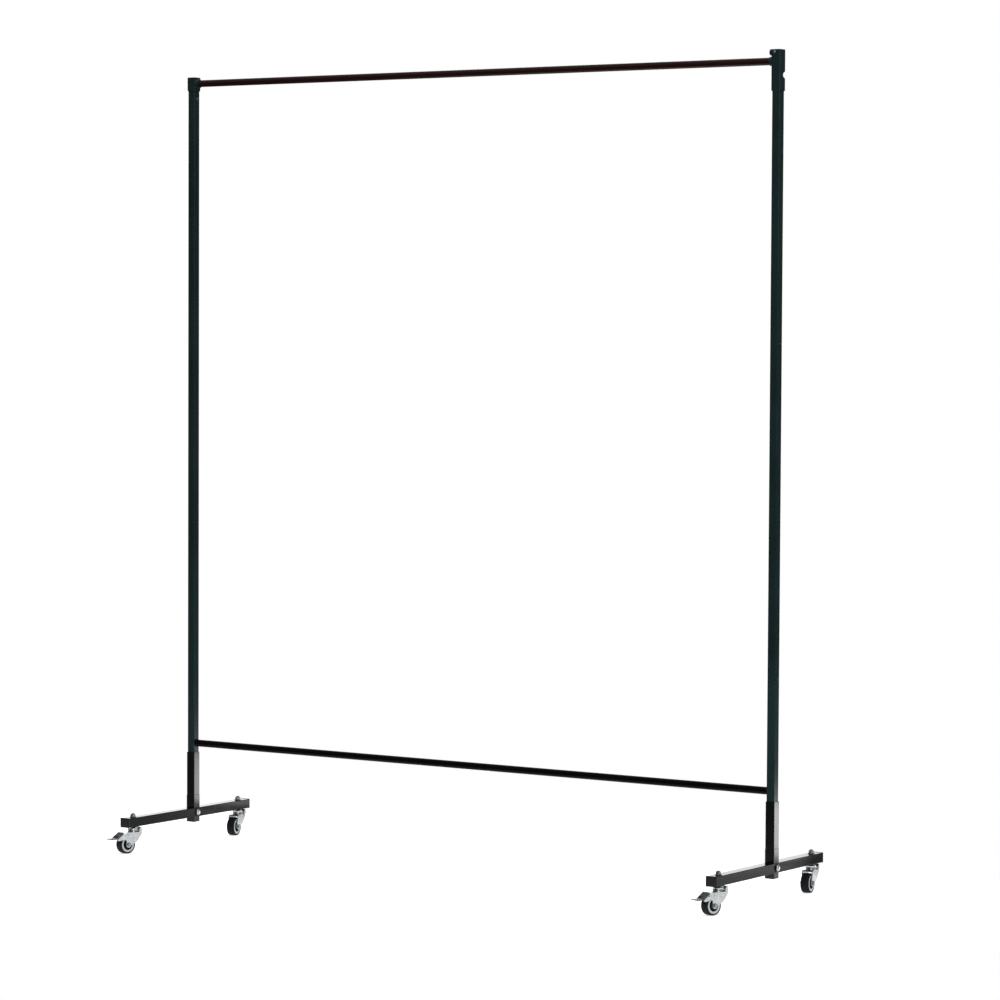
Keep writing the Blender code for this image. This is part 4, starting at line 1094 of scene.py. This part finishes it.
class CURTAINFRAME_OT_stems(bpy.types.Operator):
    """Make the threaded stems, their nuts and the upper ball races"""

    bl_idname = "curtain_frame.stems"
    bl_label = "Caster stems"

    def execute(self, context):
        for tag in CASTERS:
            x, y, _ = JOINTS[f"swivel_{tag}"]["pos_m"]
            self.stem(tag, at(x, y, 0))
            self.nut(tag, at(x, y, 0))
            self.race(tag, at(x, y, 0))
        return {"FINISHED"}

    def stem(self, tag, place):
        """King pin with its riveted end, a hexagon collar, and the thread above it."""
        node = f"caster_stem_{tag}"
        low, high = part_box(node)
        race_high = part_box(f"upper_race_{tag}")[1]
        beam_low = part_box(f"foot_beam_{tag.split('_')[1]}")[0].z
        collar_low = race_high.z + FIT
        collar_high = beam_low - FIT
        collar = high.x - low.x
        stem = hex_nut(node, collar, collar_low, collar_high)
        pin = KING_PIN_RADIUS
        rivet = collar / 2
        profile = [(rivet * 0.6, low.z), (rivet * 0.9, low.z + 0.4 * MM), (rivet, low.z + 1.1 * MM)]
        profile += [(rivet, low.z + 1.5 * MM), (pin, low.z + 1.5 * MM), (pin, collar_low + 0.5 * MM)]
        combine(stem, "UNION", turned("king_pin", profile))
        combine(stem, "UNION", thread("thread", BOLT_RADIUS, collar_high - 0.6 * MM, high.z))
        move(stem, place)
        finish_piece(stem, node, material_called("black_oxide_steel"))

    def nut(self, tag, place):
        """A hexagon on a round flange."""
        node = f"stem_nut_{tag}"
        low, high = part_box(node)
        flange = 1.6 * MM
        radius = (high.x - low.x) / 2
        across_corners = STEM_NUT_FLATS / math.cos(math.pi / 6)
        nut = hex_nut(node, across_corners, low.z + flange * 0.6, high.z)
        skirt = [(radius - 0.3 * MM, low.z), (radius, low.z + 0.3 * MM), (radius, low.z + 0.9 * MM)]
        skirt += [(radius - 0.5 * MM, low.z + flange * 0.8)]
        skirt += [(across_corners / 2 * 0.9, low.z + flange * 1.25)]
        combine(nut, "UNION", turned("skirt", skirt))
        drill(nut, BOLT_RADIUS + FIT, 60 * MM, at(0, 0, high.z))
        sink = [(BOLT_RADIUS, high.z - 1 * MM), (BOLT_RADIUS + 1.2 * MM, high.z + 0.2 * MM)]
        combine(nut, "DIFFERENCE", turned("countersink", sink))
        move(nut, place)
        finish_piece(nut, node, material_called("dulled_zinc_plate"))

    def race(self, tag, place):
        """The dished cover ring over the balls, with a rolled lip."""
        node = f"upper_race_{tag}"
        low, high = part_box(node)
        radius = (high.x - low.x) / 2
        bore = KING_PIN_RADIUS + FIT
        top = high.z
        lip = 0.9 * MM
        tier = radius - 3 * MM
        corner = 2 * MM
        profile = [(bore, low.z), (radius - 2.4 * MM, low.z)]
        profile += arc((radius - lip, low.z + lip), lip, -90, 60, 8)
        profile += [(radius - 1.8 * MM, low.z + 2 * MM), (tier - 0.4 * MM, low.z + 2.1 * MM)]
        profile += [(tier, low.z + 2.7 * MM)]
        profile += arc((tier - corner, top - corner), corner, 0, 90, 8)
        profile += [(KING_PIN_RADIUS + 3.5 * MM, top)]
        profile += [(KING_PIN_RADIUS + 2.6 * MM, top - 0.5 * MM), (bore, top - 0.5 * MM)]
        race = turned(node, profile, ring=True)
        move(race, place)
        finish_piece(race, node, material_called("polished_zinc_plate"), angle=40)


class CURTAINFRAME_OT_forks(bpy.types.Operator):
    """Make the pressed forks and the wheel axles"""

    bl_idname = "curtain_frame.forks"
    bl_label = "Forks"

    def execute(self, context):
        for tag in CASTERS:
            self.fork(tag)
            self.axle(tag)
        return {"FINISHED"}

    def outline(self, tag, crown_top):
        """A fork from the side: hood, round back, a cheek down to the axle, and an ear or a front lip."""
        own = caster_frame(tag)
        axle = own.inverted() @ Vector(JOINTS[f"roll_{tag}"]["pos_m"])
        eye = arc((-axle.y, axle.z), AXLE_EYE_RADIUS, 205, 375, 14)
        steps = 6
        hood = [(x * MM, crown_top + y * MM) for x, y in HOOD]
        haunch = [(x * MM, crown_top + y * MM) for x, y in HAUNCH]
        top = rounded([(0, crown_top)] + hood + [haunch[0]], 1.6 * MM)[steps:-steps]
        back = rounded([hood[-1]] + haunch + [eye[0]], 5 * MM)[steps:-steps]
        if tag in BRAKED:
            pin = own.inverted() @ Vector(JOINTS[f"brake_{tag}"]["pos_m"])
            ear = [(-pin.y + x * MM, pin.z + y * MM) for x, y in EAR]
            ear += [(-pin.y, crown_top - 4 * MM), (FORK_FRONT + 6 * MM, crown_top)]
            front = rounded([eye[-1]] + ear + [hood[0]], 3.2 * MM)[steps:-steps]
        else:
            nose = FORK_FRONT + FORK_NOSE
            lip = crown_top - FORK_CROWN - FORK_LIP
            plain = [(nose, lip), (nose, crown_top - FORK_CROWN), (FORK_FRONT, crown_top)]
            front = plain[:1] + rounded(plain + [hood[0]], 3 * MM)[steps:-steps]
        return top + back + eye + front

    def fork(self, tag):
        node = f"fork_{tag}"
        own = caster_frame(tag)
        crown_top = span(node, own)[1].z - HOOD_HEIGHT
        inner_top = crown_top - FORK_CROWN
        race_top = crown_top + RACE_HEIGHT
        half = FORK_GAP / 2 + FORK_SHEET
        bend = 2.6 * MM
        fork = prism(node, self.outline(tag, crown_top), -half, half)
        move(fork, SIDE_VIEW)
        self.round_shoulders(fork, crown_top, half, bend)
        inner = FORK_GAP / 2
        inside = FORK_BACK - FORK_SHEET
        corner = 2 * MM
        bowl = rounded([(-inner, 0), (inner, 0), (inner, inside), (-inner, inside)], corner)
        combine(fork, "DIFFERENCE", prism("hood_hollow", bowl, crown_top, crown_top + 2 * HOOD_HEIGHT))
        clear = UPPER_RACE_RADIUS + HOOD_PLAY
        room = [(clear, crown_top), (clear, crown_top + 2 * HOOD_HEIGHT)]
        combine(fork, "DIFFERENCE", turned("race_room", room))
        edge = 0.8 * MM
        crown = [(TIP, inner_top), (FORK_CROWN_RADIUS - 0.6 * MM, inner_top)]
        crown += arc((FORK_CROWN_RADIUS - edge, crown_top - edge), edge, 0, 90, 4)
        crown += [(RACE_RADIUS + 1 * MM, crown_top), (RACE_RADIUS, crown_top + 0.5 * MM)]
        crown += [(RACE_RADIUS - 0.3 * MM, race_top - 1.2 * MM)]
        crown += [(RACE_RADIUS - 1 * MM, race_top - 0.3 * MM)]
        crown += [(RACE_RADIUS - 2 * MM, race_top), (TIP, race_top)]
        combine(fork, "UNION", turned("crown", crown))
        far_ahead = -120 * MM
        if tag in BRAKED:
            self.hollow(fork, far_ahead, inside, inner_top, 0.3 * MM)
        else:
            self.hollow(fork, far_ahead, inside, inner_top - FORK_LIP, 1.4 * MM)
            self.hollow(fork, FORK_SHEET - FORK_FRONT - FORK_NOSE, inside, inner_top, 1.4 * MM)
        drill(fork, KING_PIN_RADIUS + FIT, 60 * MM, at(0, 0, crown_top))
        axle = own.inverted() @ Vector(JOINTS[f"roll_{tag}"]["pos_m"])
        drill(fork, AXLE_RADIUS + FIT, 80 * MM, at(0, axle.y, axle.z) @ TO_X)
        if tag in BRAKED:
            pin = own.inverted() @ Vector(JOINTS[f"brake_{tag}"]["pos_m"])
            drill(fork, BRAKE_PIN_RADIUS + FIT, 80 * MM, at(0, pin.y, pin.z) @ TO_X)
        self.press_marks(fork, axle, crown_top, half)
        soften(fork, 0.35 * MM)
        move(fork, own)
        finish_piece(fork, node, material_called("bright_zinc_plate"), angle=36)

    def hollow(self, fork, front, rear, top, corner):
        """Cut the room for the wheel, from the front to the rear and up to a round-cornered roof."""
        inner = FORK_GAP / 2
        arch = rounded([(-inner, -60 * MM), (inner, -60 * MM), (inner, top), (-inner, top)], corner)
        tool = prism("hollow", arch, -rear, -front)
        combine(fork, "DIFFERENCE", move(tool, TO_MINUS_Y))

    def round_shoulders(self, fork, crown_top, half, bend):
        """Bend the sheet from the crown and the closed back into both cheeks."""
        shape = bmesh.new()
        shape.from_mesh(fork.data)
        edges = []
        for edge in shape.edges:
            ends = [vertex.co for vertex in edge.verts]
            if all(abs(abs(p.x) - half) < 0.01 * MM and self.is_bent(p, crown_top) for p in ends):
                edges.append(edge)
        bmesh.ops.bevel(
            shape, geom=edges, offset=bend, segments=6, profile=0.5, affect="EDGES", clamp_overlap=True
        )
        bmesh.ops.recalc_face_normals(shape, faces=shape.faces)
        shape.to_mesh(fork.data)
        shape.free()

    def is_bent(self, point, crown_top):
        """Whether a point of the outline is on the crown or on the closed back."""
        behind = point.y > FORK_BACK - 1.6 * MM
        at_crown = crown_top - 4.2 * MM < point.z < crown_top + 1 * MM
        return behind or (abs(point.y) < FORK_FRONT + 8 * MM and at_crown)

    def press_marks(self, fork, axle, crown_top, half):
        """A rivet dimple on each cheek."""
        for sign, turn in ((1, TO_X), (-1, TO_MINUS_X)):
            radius, rim = 2.2 * MM, 0.2 * MM
            dimple = [(radius, -0.6 * MM), (radius, rim)]
            dimple += [(r, h + rim) for r, h in reversed(dome(radius, 0.5 * MM, steps=4))]
            mark = turned("dimple", dimple, sides=32)
            move(mark, at(sign * half, axle.y - 3 * MM, crown_top - 8 * MM) @ turn)
            combine(fork, "UNION", mark)

    def axle(self, tag):
        """A hexagon bolt through the wheel, with a nut on its far end."""
        node = f"wheel_axle_{tag}"
        own = axle_frame(tag)
        half = span(node, own)[1].x
        head = 3.5 * MM
        corners = 11 * MM
        profile = [(AXLE_RADIUS, -half + 1 * MM), (AXLE_RADIUS, half - 1 * MM)]
        axle = turned(node, profile, sides=48)
        bolt_head = hex_nut("head", corners, half - head, half)
        nut = hex_nut("nut", corners, -half, -half + head)
        combine(axle, "UNION", bolt_head)
        drill(nut, AXLE_RADIUS + 0.1 * MM, 3 * MM, at(0, 0, -half))
        combine(axle, "UNION", nut)
        move(axle, own @ TO_X)
        finish_piece(axle, node, material_called("dulled_zinc_plate"))


class CURTAINFRAME_OT_wheels(bpy.types.Operator):
    """Make the wheel cores and their treads"""

    bl_idname = "curtain_frame.wheels"
    bl_label = "Wheels"

    def execute(self, context):
        for tag in CASTERS:
            own = axle_frame(tag)
            self.core(tag, own)
            self.tyre(tag, own)
        return {"FINISHED"}

    def core(self, tag, own):
        """Rim, thin web, ribs and hub, moulded in one, with a step that the tread locks on."""
        node = f"wheel_core_{tag}"
        low, high = span(node, own)
        tyre_low, tyre_high = span(f"tyre_{tag}", own)
        rim = (high.z - low.z) / 2
        half_hub = (high.x - low.x) / 2
        half_rim = (tyre_high.x - tyre_low.x) / 2 - 0.5 * MM
        half_web = 2 * MM
        recess = rim - 6.2 * MM
        hub = 7.4 * MM
        edge = 0.6 * MM
        bore = AXLE_RADIUS + FIT
        foot = hub + 0.8 * MM
        side = [(bore, half_hub), (hub - edge, half_hub), (hub, half_hub - edge)]
        side += [(foot, half_web + edge), (foot + edge, half_web)]
        side += [(recess - edge, half_web), (recess, half_web + edge)]
        side += [(recess + 0.5 * MM, half_rim - edge), (recess + 0.5 * MM + edge, half_rim)]
        groove = half_rim - 0.4 * MM
        side += [(rim - 1.6 * MM, half_rim), (rim - 1.4 * MM, groove), (rim - 0.9 * MM, groove)]
        side += [(rim - 0.7 * MM, half_rim), (rim, half_rim)]
        profile = side + [(r, -h) for r, h in reversed(side)]
        core = turned(node, profile, ring=True, sides=96)
        ribs = None
        count = bpy.context.scene.curtain_shape.spokes
        for i in range(count):
            turn = Matrix.Rotation(2 * math.pi * i / count, 4, "Z")
            for sign in (-1, 1):
                deep = sign * (half_web - 0.5 * MM)
                tall = sign * (half_web + 3 * MM)
                rib_low = (hub - 0.3 * MM, -0.8 * MM, min(deep, tall))
                rib = box("rib", rib_low, (recess + 1 * MM, 0.8 * MM, max(deep, tall)))
                move(rib, turn)
                ribs = rib if ribs is None else self.gather(ribs, rib)
        combine(core, "UNION", ribs)
        # The web and ribs inside the rim get a second, darker nylon below: painted shade in the recess.
        shaded_faces = self.painted_shade_faces(core, hub - 1 * MM, recess + 1 * MM, half_rim - 0.5 * MM)
        move(core, own @ TO_X)
        finish_piece(core, node, material_called("grey_nylon"))
        core.data.materials.append(material_called("recess_shade_nylon"))
        for index in shaded_faces:
            core.data.polygons[index].material_index = 1

    def painted_shade_faces(self, core, inner, outer, depth):
        """The faces of the web and its ribs inside the rim, which get a darker nylon as painted shade in the
        recess.
        """
        shaded_faces = []
        for face in core.data.polygons:
            across = Vector(face.center[:2]).length
            if inner < across < outer and abs(face.center.z) < depth:
                shaded_faces.append(face.index)
        return shaded_faces

    def gather(self, first, second):
        """Put two bodies that don't touch into one mesh."""
        shape = bmesh.new()
        shape.from_mesh(first.data)
        shape.from_mesh(second.data)
        shape.to_mesh(first.data)
        shape.free()
        mesh = second.data
        bpy.data.objects.remove(second)
        bpy.data.meshes.remove(mesh)
        return first

    def tyre(self, tag, own):
        """A crowned tread with round shoulders, a moulding line and a groove in each side."""
        node = f"tyre_{tag}"
        low, high = span(node, own)
        radius = (high.z - low.z) / 2
        half = (high.x - low.x) / 2
        core_low, core_high = span(f"wheel_core_{tag}", own)
        inner = (core_high.z - core_low.z) / 2 + FIT
        shoulder = bpy.context.scene.curtain_shape.tyre_shoulder
        groove = half - 0.3 * MM
        side = [(inner, groove), (inner + 0.3 * MM, half), (inner + 0.9 * MM, half)]
        side += [(inner + 1.1 * MM, groove), (inner + 1.5 * MM, groove), (inner + 1.7 * MM, half)]
        side += arc((radius - 0.25 * MM - shoulder, half - shoulder), shoulder, 90, 8, 10)
        side += [(radius - 0.08 * MM, half * 0.4), (radius - 0.03 * MM, 0.35 * MM), (radius, 0.12 * MM)]
        profile = side + [(r, -h) for r, h in reversed(side)]
        tyre = turned(node, profile, ring=True, sides=128)
        move(tyre, own @ TO_X)
        finish_piece(tyre, node, material_called("soft_tread"), angle=40)


class CURTAINFRAME_OT_brakes(bpy.types.Operator):
    """Make the brake pedals and their pins"""

    bl_idname = "curtain_frame.brakes"
    bl_label = "Brakes"

    def execute(self, context):
        for tag in BRAKED:
            self.pedal(tag)
            self.pin(tag)
        return {"FINISHED"}

    def strip(self, thickness):
        """The bent sheet from the side: its plate, a round bend and the lip."""
        centre = [(x * MM, y * MM - thickness / 2) for x, y in PEDAL_BEND]
        bend = rounded(centre, 5 * MM, steps=8)
        bend = [centre[0]] + bend[9:18] + [centre[-1]]
        above, below = [], []
        for i, point in enumerate(bend):
            point = Vector(point)
            before = Vector(bend[max(i - 1, 0)])
            after = Vector(bend[min(i + 1, len(bend) - 1)])
            along = (after - before).normalized()
            across = Vector((-along.y, along.x)) * thickness / 2
            above.append(tuple(point + across))
            below.append(tuple(point - across))
        return above + below[::-1]

    def pedal(self, tag):
        node = f"brake_pedal_{tag}"
        own = brake_frame(tag)
        tip = span(node, own)[0].y
        half = PEDAL_WIDTH / 2
        pedal = prism(node, self.strip(PEDAL_SHEET), -half, half)
        move(pedal, SIDE_VIEW)

        lip_half = PEDAL_LIP_WIDTH / 2
        lip_end = tip + 12.5 * MM
        lip_top = -4.8 * MM
        corners = [(-lip_half, tip), (lip_half, tip), (lip_half, lip_end), (-lip_half, lip_end)]
        lip = prism("lip", rounded(corners, 3 * MM), lip_top - 1.6 * MM, lip_top, edge=0.4 * MM)
        combine(pedal, "UNION", lip)

        cheek = rounded([(x * MM, y * MM) for x, y in PEDAL_CHEEK], 2 * MM)
        for sign in (-1, 1):
            low_side, high_side = sorted((sign * half, sign * (half - 2 * MM)))
            side = prism("cheek", cheek, low_side, high_side)
            combine(pedal, "UNION", move(side, SIDE_VIEW))
        barrel = turned("barrel", [(CAM_RADIUS, 1 * MM - half), (CAM_RADIUS, half - 1 * MM)], sides=48)
        combine(pedal, "UNION", move(barrel, TO_X))
        drill(pedal, BRAKE_PIN_RADIUS + FIT, 4 * half, TO_X)

        slope = math.atan2(PEDAL_BEND[0][1] - PEDAL_BEND[1][1], PEDAL_BEND[1][0] - PEDAL_BEND[0][0])
        for sign in (-1, 1):
            window = rounded_rectangle(WINDOW_WIDTH, WINDOW_LENGTH, 1.6 * MM, steps=4)
            tool = prism("window", window, -5 * MM, 5 * MM)
            move(tool, at(sign * 5.4 * MM, -11 * MM, 0.5 * MM) @ Matrix.Rotation(slope, 4, "X"))
            combine(pedal, "DIFFERENCE", tool)
        for i in range(3):
            radius, reach = 0.55 * MM, 10 * MM
            ridge = turned("ridge", [(radius, -reach), (radius, reach)], sides=16)
            move(ridge, at(0, tip + (2.6 + 2.6 * i) * MM, -4.75 * MM) @ TO_X)
            combine(pedal, "UNION", ridge)
        soften(pedal, 0.3 * MM)
        move(pedal, own)
        finish_piece(pedal, node, material_called("darkened_sheet_steel"), angle=36)

    def pin(self, tag):
        """A plain pin, riveted over into a low dome at both ends."""
        node = f"brake_pin_{tag}"
        own = brake_frame(tag)
        half = span(node, own)[1].x
        head = 1.2 * MM
        side = [(r * 0.98 + 0.02 * MM, half - head + h) for r, h in dome(BRAKE_PIN_HEAD_RADIUS, head)]
        side += [(BRAKE_PIN_RADIUS, half - head)]
        pin = turned(node, side + [(r, -h) for r, h in reversed(side)], sides=48)
        move(pin, own @ TO_X)
        finish_piece(pin, node, material_called("polished_zinc_plate"))


class CURTAINFRAME_OT_studio(bpy.types.Operator):
    """Set the floor, the lights and the camera"""

    bl_idname = "curtain_frame.studio"
    bl_label = "Studio"

    def execute(self, context):
        settings = context.scene.curtain_studio
        self.camera(settings)
        self.floor(settings)
        self.lights(settings)
        self.surroundings()
        context.scene.view_settings.view_transform = "Standard"
        return {"FINISHED"}

    def camera(self, settings):
        post = middle_of("post_right")
        aim = Vector((settings.aim_x, post.y, settings.aim_z))
        turn = settings.azimuth
        away = Vector((math.sin(turn), -math.cos(turn), 0)) * settings.distance
        eye = Vector((aim.x, aim.y, settings.height)) + away
        data = bpy.data.cameras.new("camera")
        data.sensor_width = 36
        data.lens = settings.lens
        camera = bpy.data.objects.new("camera", data)
        bpy.context.scene.collection.objects.link(camera)
        facing = (aim - eye).to_track_quat("-Z", "Y").to_matrix().to_4x4()
        camera.matrix_world = at(*eye) @ facing @ Matrix.Rotation(settings.roll, 4, "Z")
        data.clip_end = 200
        bpy.context.scene.camera = camera

    def floor(self, settings):
        """A pale lit table under the feet."""
        shape = bmesh.new()
        corners = [(-1.6, -0.5, 0), (1.7, -0.5, 0), (1.7, 0.62, 0), (-1.6, 0.62, 0)]
        shape.faces.new([shape.verts.new(corner) for corner in corners])
        floor = new_object("studio_floor", shape)
        material, tree, shader, place = shader_for("pale_light_table", Roughness=0.7)
        mottle = add_node(
            tree, "ShaderNodeTexNoise", {"Vector": place, "Scale": per(300), "Detail": 2}
        ).outputs["Fac"]
        pale = add_node(
            tree,
            "ShaderNodeMix",
            {"Factor": mottle, 6: linear("f2f2f2"), 7: linear("f8f8f8")},
            data_type="RGBA",
        ).outputs[2]
        tree.links.new(pale, shader.inputs["Base Color"])
        shader.inputs["Emission Color"].default_value = (1, 1, 1, 1)
        shader.inputs["Emission Strength"].default_value = settings.table
        floor.data.materials.append(material)

    def area(self, name, place, aim, width, height, power):
        data = bpy.data.lights.new(name, "AREA")
        data.shape = "RECTANGLE"
        data.size = width
        data.size_y = height
        data.energy = power
        light = bpy.data.objects.new(name, data)
        bpy.context.scene.collection.objects.link(light)
        light.location = place
        light.rotation_euler = (Vector(aim) - Vector(place)).to_track_quat("-Z", "Y").to_euler()
        light.visible_camera = False

    def lights(self, settings):
        data = bpy.data.lights.new("overhead", "SUN")
        data.energy = settings.sun
        data.angle = math.radians(50)
        sun = bpy.data.objects.new("overhead", data)
        bpy.context.scene.collection.objects.link(sun)
        sun.rotation_euler = (math.radians(18), math.radians(14), 0)
        for side in SIDES:
            sleeve = middle_of(f"leg_sleeve_{side}")
            place = (sleeve.x + 0.42, 0.66, 0.09)
            self.area(f"low_card_{side}", place, (place[0], -1, 0.09), 0.26, 0.15, settings.card)
        self.area("softbox", (3.2, -3.4, 2.6), (0.3, 0, 0.7), 1.4, 1.8, settings.key)

    def surroundings(self):
        """White behind the object. It reflects a dim room with a bright low wall behind on the left."""
        world = bpy.data.worlds.new("studio")
        bpy.context.scene.world = world
        world.use_nodes = True
        tree = world.node_tree
        tree.nodes.clear()
        seen = add_node(tree, "ShaderNodeLightPath").outputs["Is Camera Ray"]
        white = add_node(tree, "ShaderNodeBackground", {"Color": (1, 1, 1, 1), "Strength": 1.0})
        direction = add_node(tree, "ShaderNodeTexCoord").outputs["Generated"]
        height = add_node(tree, "ShaderNodeSeparateXYZ", {"Vector": direction}).outputs["Z"]
        glow = add_node(
            tree,
            "ShaderNodeMapRange",
            {"Value": height, "From Min": 0, "From Max": 0.9, "To Min": 0.14, "To Max": 0.5},
        ).outputs["Result"]
        towards = add_node(
            tree, "ShaderNodeVectorMath", {0: direction, 1: (-0.55, 0.82, 0.16)}, operation="DOT_PRODUCT"
        ).outputs["Value"]
        wall = add_node(
            tree,
            "ShaderNodeMapRange",
            {"Value": towards, "From Min": 0.82, "From Max": 0.96, "To Min": 0, "To Max": 2},
        ).outputs["Result"]
        strength = add_node(tree, "ShaderNodeMath", {0: glow, 1: wall}, operation="ADD").outputs["Value"]
        room = add_node(tree, "ShaderNodeBackground", {"Color": (1, 1, 1, 1), "Strength": strength})
        mixed = add_node(tree, "ShaderNodeMixShader", {0: seen, 1: room.outputs[0], 2: white.outputs[0]})
        add_node(tree, "ShaderNodeOutputWorld", {"Surface": mixed.outputs[0]})


class CURTAINFRAME_PT_panel(bpy.types.Panel):
    """Buttons and settings for the frame's finish"""

    bl_idname = "CURTAINFRAME_PT_panel"
    bl_label = "Curtain Frame"
    bl_space_type = "VIEW_3D"
    bl_region_type = "UI"
    bl_category = "Curtain Frame"

    def draw(self, context):
        for operator in OPERATORS:
            self.layout.operator(operator.bl_idname)
        for setting in GROUPS:
            group = getattr(context.scene, setting)
            column = self.layout.column()
            for name in group.bl_rna.properties.keys():
                if name not in ("rna_type", "name"):
                    column.prop(group, name)


GROUPS = {
    "curtain_shape": CURTAINFRAME_PG_shape,
    "curtain_colours": CURTAINFRAME_PG_colours,
    "curtain_studio": CURTAINFRAME_PG_studio,
}
OPERATORS = (
    CURTAINFRAME_OT_studio,
    CURTAINFRAME_OT_posts,
    CURTAINFRAME_OT_rails,
    CURTAINFRAME_OT_top_fittings,
    CURTAINFRAME_OT_legs,
    CURTAINFRAME_OT_feet,
    CURTAINFRAME_OT_foot_bolts,
    CURTAINFRAME_OT_stems,
    CURTAINFRAME_OT_forks,
    CURTAINFRAME_OT_wheels,
    CURTAINFRAME_OT_brakes,
)


def register():
    for name, group in GROUPS.items():
        bpy.utils.register_class(group)
        setattr(bpy.types.Scene, name, PointerProperty(type=group))
    for operator in OPERATORS:
        bpy.utils.register_class(operator)
    bpy.utils.register_class(CURTAINFRAME_PT_panel)


def unregister():
    bpy.utils.unregister_class(CURTAINFRAME_PT_panel)
    for operator in reversed(OPERATORS):
        bpy.utils.unregister_class(operator)
    for name, group in GROUPS.items():
        delattr(bpy.types.Scene, name)
        bpy.utils.unregister_class(group)


def main():
    register()
    bpy.ops.curtain_frame.studio()
    bpy.ops.curtain_frame.posts()
    bpy.ops.curtain_frame.rails()
    bpy.ops.curtain_frame.top_fittings()
    bpy.ops.curtain_frame.legs()
    bpy.ops.curtain_frame.feet()
    bpy.ops.curtain_frame.foot_bolts()
    bpy.ops.curtain_frame.stems()
    bpy.ops.curtain_frame.forks()
    bpy.ops.curtain_frame.wheels()
    bpy.ops.curtain_frame.brakes()


if __name__ == "__main__":
    main()
